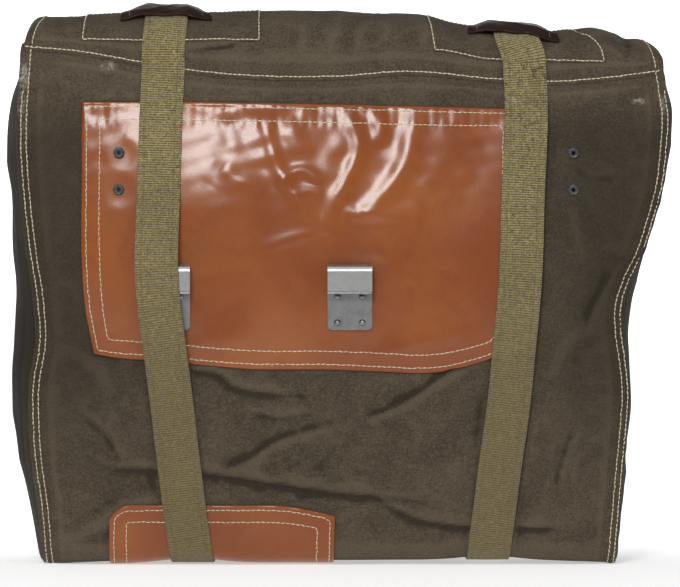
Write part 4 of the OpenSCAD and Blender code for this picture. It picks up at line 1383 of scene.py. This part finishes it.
class MAILSACK_OT_flap(bpy.types.Operator):
    """The flap: its crown over the mouth, its drop down the outer side, and their stitching"""
    bl_idname = "mailsack.flap"
    bl_label = "Flap"

    def execute(self, context):
        t = cloth().canvas_t
        u = np.linspace(0, 1, 230)[None]
        a = 180 * np.linspace(0, 1, 84)[:, None]
        x = flap_x(u, a)
        grid = crown(x, a)
        lap = grid[:1] + [0, 0.0, -4.5]
        lap[..., 1] = CENTRE_Y - face(-1, lap[..., 0], lap[..., 2]) - 1.0
        step = grid[:1] * 0.5 + lap * 0.5
        step[..., 1] = CENTRE_Y - face(-1, step[..., 0], step[..., 2]) - 1.25
        grid = np.concatenate([lap, step, grid])
        piece = shell("flap_crown_canvas", grid, t * 0.7, "canvas", "flap_crown")
        seam_blend(piece)
        z = np.linspace(FOLD_Z, 235, 76)[:, None]
        x = flap_x(u[:, ::2], 180 + 0 * z)
        x = drop_x(x, z)
        low = drop(x, z)
        hem_wave = 1.6 * ripple(x, 0 * z, 171, 120) * ease((260 - z) / 30)
        low[..., 1] += hem_wave
        piece = shell("flap_drop_canvas", low, t, "canvas", "flap_drop")
        fold_blend(piece)
        self.sew()
        return {"FINISHED"}

    def sew(self):
        xs = np.linspace(-256, 260, 300)
        p = crown(xs, 0 * xs, 0.0)
        p[:, 2] -= 1.2
        p[:, 1] = CENTRE_Y - face(-1, xs, p[:, 2]) - 1.55
        n = np.tile([0.0, -1, 0.05], (len(xs), 1))
        piece = thread([(p, n)], finish("thread"), "flap_seam_thread", None, cloth().stitch, 0.50, 21)
        seam_blend(piece)
        rows = []
        for sign in (-1, 1):
            a = np.linspace(1, 176, 140)
            z = through(FLAP_SEAM, sign * 250.0) + 22 * np.minimum(1, a / 70)
            x = (left_seam if sign < 0 else right_seam)(z)
            p = crown(x, a, 0.2)
            n = p - np.stack([x * 0.97, CENTRE_Y + 0 * a, 400 + 0 * a], -1)
            rows.append((p, n / np.linalg.norm(n, axis=1, keepdims=True)))
        piece = thread(rows, finish("thread"), "flap_end_thread", None, cloth().stitch, 0.46, 22)
        seam_blend(piece)
        rows = []
        for z in (242, 252):
            x = drop_x(np.linspace(-252, 258, 200), z)
            p = drop(x, z + 0 * x, 0.25)
            p[:, 1] += 1.6 * ripple(x, 0 * x, 171, 120) * ease((260 - z) / 30)
            rows.append((p, np.tile([0.0, 1, 0], (len(x), 1))))
        for sign in (-1, 1):
            z = np.linspace(400, 243, 100)
            x = drop_x(flap_x(np.array(0.019 if sign < 0 else 0.981), 180 + 0 * z), z)
            rows.append((drop(x, z, 0.25), np.tile([0.0, 1, 0], (len(z), 1))))
        piece = thread(rows, finish("thread"), "flap_drop_thread", None, cloth().stitch, 0.46, 23)
        fold_blend(piece)


def drop_x(x, z):
    """Across the drop: its ends draw in towards the hem, with the sack's own narrowing."""
    right = through(((234, 233), (256, 240), (276, 249), (300, 256), (340, 260), (406, 263)), z)
    return np.where(x > 0, x * right / 263, x * (1 - 0.03 * ease((FOLD_Z - z) / 60)))


def flap_x(u, a):
    """Across the flap, from its left end to its right, for each angle."""
    return -257.3 * (1 - u) + 263.0 * u + 0 * a


def patch_place(side, u, v):
    """A place on a keeper's patch, as (x, angle): u runs along the flap and v up it, from a
    bottom edge given by its height to a top edge near the flap's crest."""
    if side == "left":
        x = -210.5 + 146 * u + 3 * (1 - u) * v
        low = crown_angle(x, 424.4 + 2.0 * u)
        high = 80 - 4 * u
    else:
        x = 76 + 139.5 * u - 6.5 * v * (1 - u) - 16 * ease((u - 0.8) / 0.2) * v * v
        low = crown_angle(x, 418.0 - 6.5 * ease(u / 0.35) - 2.0 * u)
        high = 78 - 26 * ease((u - 0.75) / 0.25)
    return x, low + (high - low) * v


class MAILSACK_OT_keepers(bpy.types.Operator):
    """The canvas patches on the flap, and the dark leather keepers arched over the straps"""
    bl_idname = "mailsack.keepers"
    bl_label = "Keepers and their patches"

    def execute(self, context):
        for name, stations, seed in (("left", LEFT_STRAP, 31), ("right", RIGHT_STRAP, 33)):
            x, a = patch_place(name, np.linspace(0, 1, 90)[None], np.linspace(0, 1, 40)[:, None])
            piece = shell(f"{name}_patch_canvas", crown(x + 0 * a, a, 0.9), 0.8, "canvas",
                          f"{name}_patch")
            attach(piece, "flap")
            m = 0.010
            course = [(m, 0.03), (1 - m, 0.03), (1 - m, 0.97), (m, 0.97), (m, 0.03)]
            rows = []
            for (ua, va), (ub, vb) in zip(course[:-1], course[1:]):
                s = np.linspace(0, 1, 14)
                px, pa = patch_place(name, ua + (ub - ua) * s, va + (vb - va) * s)
                rows.append(on_crown_line(np.stack([px + 0 * pa, pa], 1), 1.1))
            thread(rows, finish("thread"), f"{name}_patch_thread", "flap", cloth().stitch, 0.44, seed)
            self.keeper(name, float(through(stations, 440.0)))
        return {"FINISHED"}

    def keeper(self, name, x0):
        """A band of leather arched over the strap. Its tabs narrow to their sewn ends."""
        half = 37
        u, v = np.linspace(-1, 1, 90)[None], np.linspace(0, 1, 26)[:, None]
        x0 = x0 + (-0.5 if name == "left" else -1.5)
        low, high = (53, 88) if name == "left" else (47, 84)
        narrow = 1 - 0.64 * np.abs(u) ** 2.4
        arch = (STRAP_T + 2.4) * ease((1 - np.abs(u)) * 1.8) + 0.9 * ease((np.abs(u) - 0.84) / 0.16)
        lean = 1.0 if name == "left" else -3.0
        dip = -6.0 * np.abs(u) ** 1.7
        a = low + dip + (high - low) * v * narrow + lean * u + 1.2 * ripple(half * u, 30 * v, 181, 22)
        grid = crown(x0 + half * u + 0 * v, a, 0.9 + 2.0 + arch + 0.5 * bell((v - 0.5) / 0.4))
        piece = shell(f"{name}_keeper_leather", grid, 2.0, "keeper_leather",
                      f"{name}_keeper")
        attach(piece, "flap")
        rows = []
        for side in (-1, 1):
            s = np.linspace(0.2, 0.8, 12)
            line = np.stack([x0 + half * side * 0.80 + 0 * s, low - 4.4 + 17 * s + lean * side], 1)
            rows.append(on_crown_line(line, 0.9 + 2.0 + 0.4 + (STRAP_T + 2.6) * float(ease(0.4))))
        thread(rows, finish("keeper_thread"), f"{name}_keeper_thread", "flap", 3.0, 0.38, 35)


class MAILSACK_OT_hardware(bpy.types.Operator):
    """Finishes for the hooks, rivets, buckles, tips and stiffener, whose shapes the frame holds"""
    bl_idname = "mailsack.hardware"
    bl_label = "Hardware"

    def execute(self, context):
        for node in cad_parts:
            if node.endswith(("_hook", "_hook_rivets", "_hook_backing", "_buckle", "_roller", "_tongue",
                              "_strap_tip")):
                kind = "steel"
            elif node.endswith("_bar_rivets"):
                kind = "rivet_steel"
            elif node == "stiffener_bar":
                kind = "board"
            else:
                continue
            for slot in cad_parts[node].material_slots:
                slot.material = finish(kind)
        return {"FINISHED"}


class MAILSACK_OT_studio(bpy.types.Operator):
    """A pale floor that sweeps up behind, soft lights and the camera"""
    bl_idname = "mailsack.studio"
    bl_label = "Studio"

    def execute(self, context):
        studio = context.scene.mail_sack_studio
        x = np.linspace(-14000, 14000, 3)[None]
        s = np.linspace(0, 1, 60)[:, None]
        turn = np.clip((s - 0.4) / 0.3, 0, 1) * np.pi / 2
        y = -14000 + 28000 * np.clip(s / 0.4, 0, 1) + 1600 * np.sin(turn)
        z = 1600 * (1 - np.cos(turn)) + 5000 * np.clip((s - 0.7) / 0.3, 0, 1)
        points = np.stack([x + 0 * s, y + 0 * x, z + 0 * x], -1)
        floor = Finish("studio_floor", Specular_IOR_Level=0.05, Emission_Strength=1.0)
        grey = floor.noise(floor.place(), 3, 2, 0.5)
        depth = floor.parts(floor.place())[1]
        glow = floor.mix(depth.step(-0.10, 0.35), (0.42, 0.42, 0.42, 1), (0.97, 0.97, 0.97, 1))
        colour = tuple(studio.floor_colour)
        paint = floor.mix(grey * 0.02, shade(colour, 1.0), shade(colour, 0.97))
        material = floor.done(Base_Color=paint, Roughness=0.9 + grey * 0.02, Emission_Color=glow)
        k = quads(*points.shape[:2])[:, ::-1]
        stage = make("studio_floor", points.reshape(-1, 3), k, np.zeros((4 * len(k), 2)), material)
        for name, place, size, power, aim in (
            ("key_light", (-0.50, -2.90, 1.86), (0.80, 0.84), 50, (0, 0, 0.33)),
            ("fill_light", (2.4, -2.2, 1.5), (1.4, 1.4), 7, (0, 0, 0.2)),
            ("top_light", (-0.2, -0.9, 2.6), (1.6, 1.0), 9, (0, 0, 0.3)),
        ):
            light = bpy.data.lights.new(name, "AREA")
            light.shape, light.size, light.size_y = "RECTANGLE", size[0], size[1]
            light.energy = power
            lamp = bpy.data.objects.new(name, light)
            context.scene.collection.objects.link(lamp)
            lamp.location = place
            lamp.rotation_euler = aim_angles(place, aim)
        world = bpy.data.worlds.new("studio_world")
        context.scene.world = world
        world.use_nodes = True
        world.node_tree.nodes["Background"].inputs[0].default_value = (1, 1, 1, 1)
        world.node_tree.nodes["Background"].inputs[1].default_value = 0.22
        camera = bpy.data.cameras.new("camera")
        shot = bpy.data.objects.new("camera", camera)
        context.scene.collection.objects.link(shot)
        front = -0.085
        rise = math.radians(1.2)
        reach = studio.distance + front
        shot.location = (0, front - reach * math.cos(rise), studio.height + reach * math.sin(rise))
        shot.rotation_euler = (math.pi / 2 - rise, 0, 0)
        camera.sensor_width = 36
        camera.lens = 18 / (0.2747 / reach)
        camera.clip_end = 100
        context.scene.camera = shot
        context.scene.view_settings.view_transform = "Standard"
        return {"FINISHED"}


def aim_angles(place, aim):
    """The turn that points a light's -Z at its aim."""
    return (Vector(aim) - Vector(place)).to_track_quat("-Z", "Y").to_euler()


class MAILSACK_PT_pieces(bpy.types.Panel):
    """Lists the sack's pieces, and the sizes and colours that they are made with"""
    bl_idname = "MAILSACK_PT_pieces"
    bl_label = "Mail sack"
    bl_space_type = "VIEW_3D"
    bl_region_type = "UI"
    bl_category = "Mail sack"

    def draw(self, context):
        scene = context.scene
        for group in (scene.mail_sack_cloth, scene.mail_sack_trim, scene.mail_sack_studio):
            for key in group.bl_rna.properties.keys():
                if key not in ("rna_type", "name"):
                    self.layout.prop(group, key)
        for operator in PIECES:
            self.layout.operator(operator.bl_idname)


PIECES = (MAILSACK_OT_panels, MAILSACK_OT_gussets, MAILSACK_OT_seams, MAILSACK_OT_leather,
          MAILSACK_OT_straps, MAILSACK_OT_flap, MAILSACK_OT_keepers, MAILSACK_OT_hardware,
          MAILSACK_OT_studio)
GROUPS = (("mail_sack_cloth", SackCloth), ("mail_sack_trim", SackTrim), ("mail_sack_studio", SackStudio))


def register():
    for name, group in GROUPS:
        bpy.utils.register_class(group)
        setattr(bpy.types.Scene, name, bpy.props.PointerProperty(type=group))
    for operator in PIECES:
        bpy.utils.register_class(operator)
    bpy.utils.register_class(MAILSACK_PT_pieces)


def unregister():
    bpy.utils.unregister_class(MAILSACK_PT_pieces)
    for operator in reversed(PIECES):
        bpy.utils.unregister_class(operator)
    for name, group in reversed(GROUPS):
        delattr(bpy.types.Scene, name)
        bpy.utils.unregister_class(group)


def main():
    register()
    for operator in PIECES:
        family, name = operator.bl_idname.split(".")
        getattr(getattr(bpy.ops, family), name)()


if __name__ == "__main__":
    main()
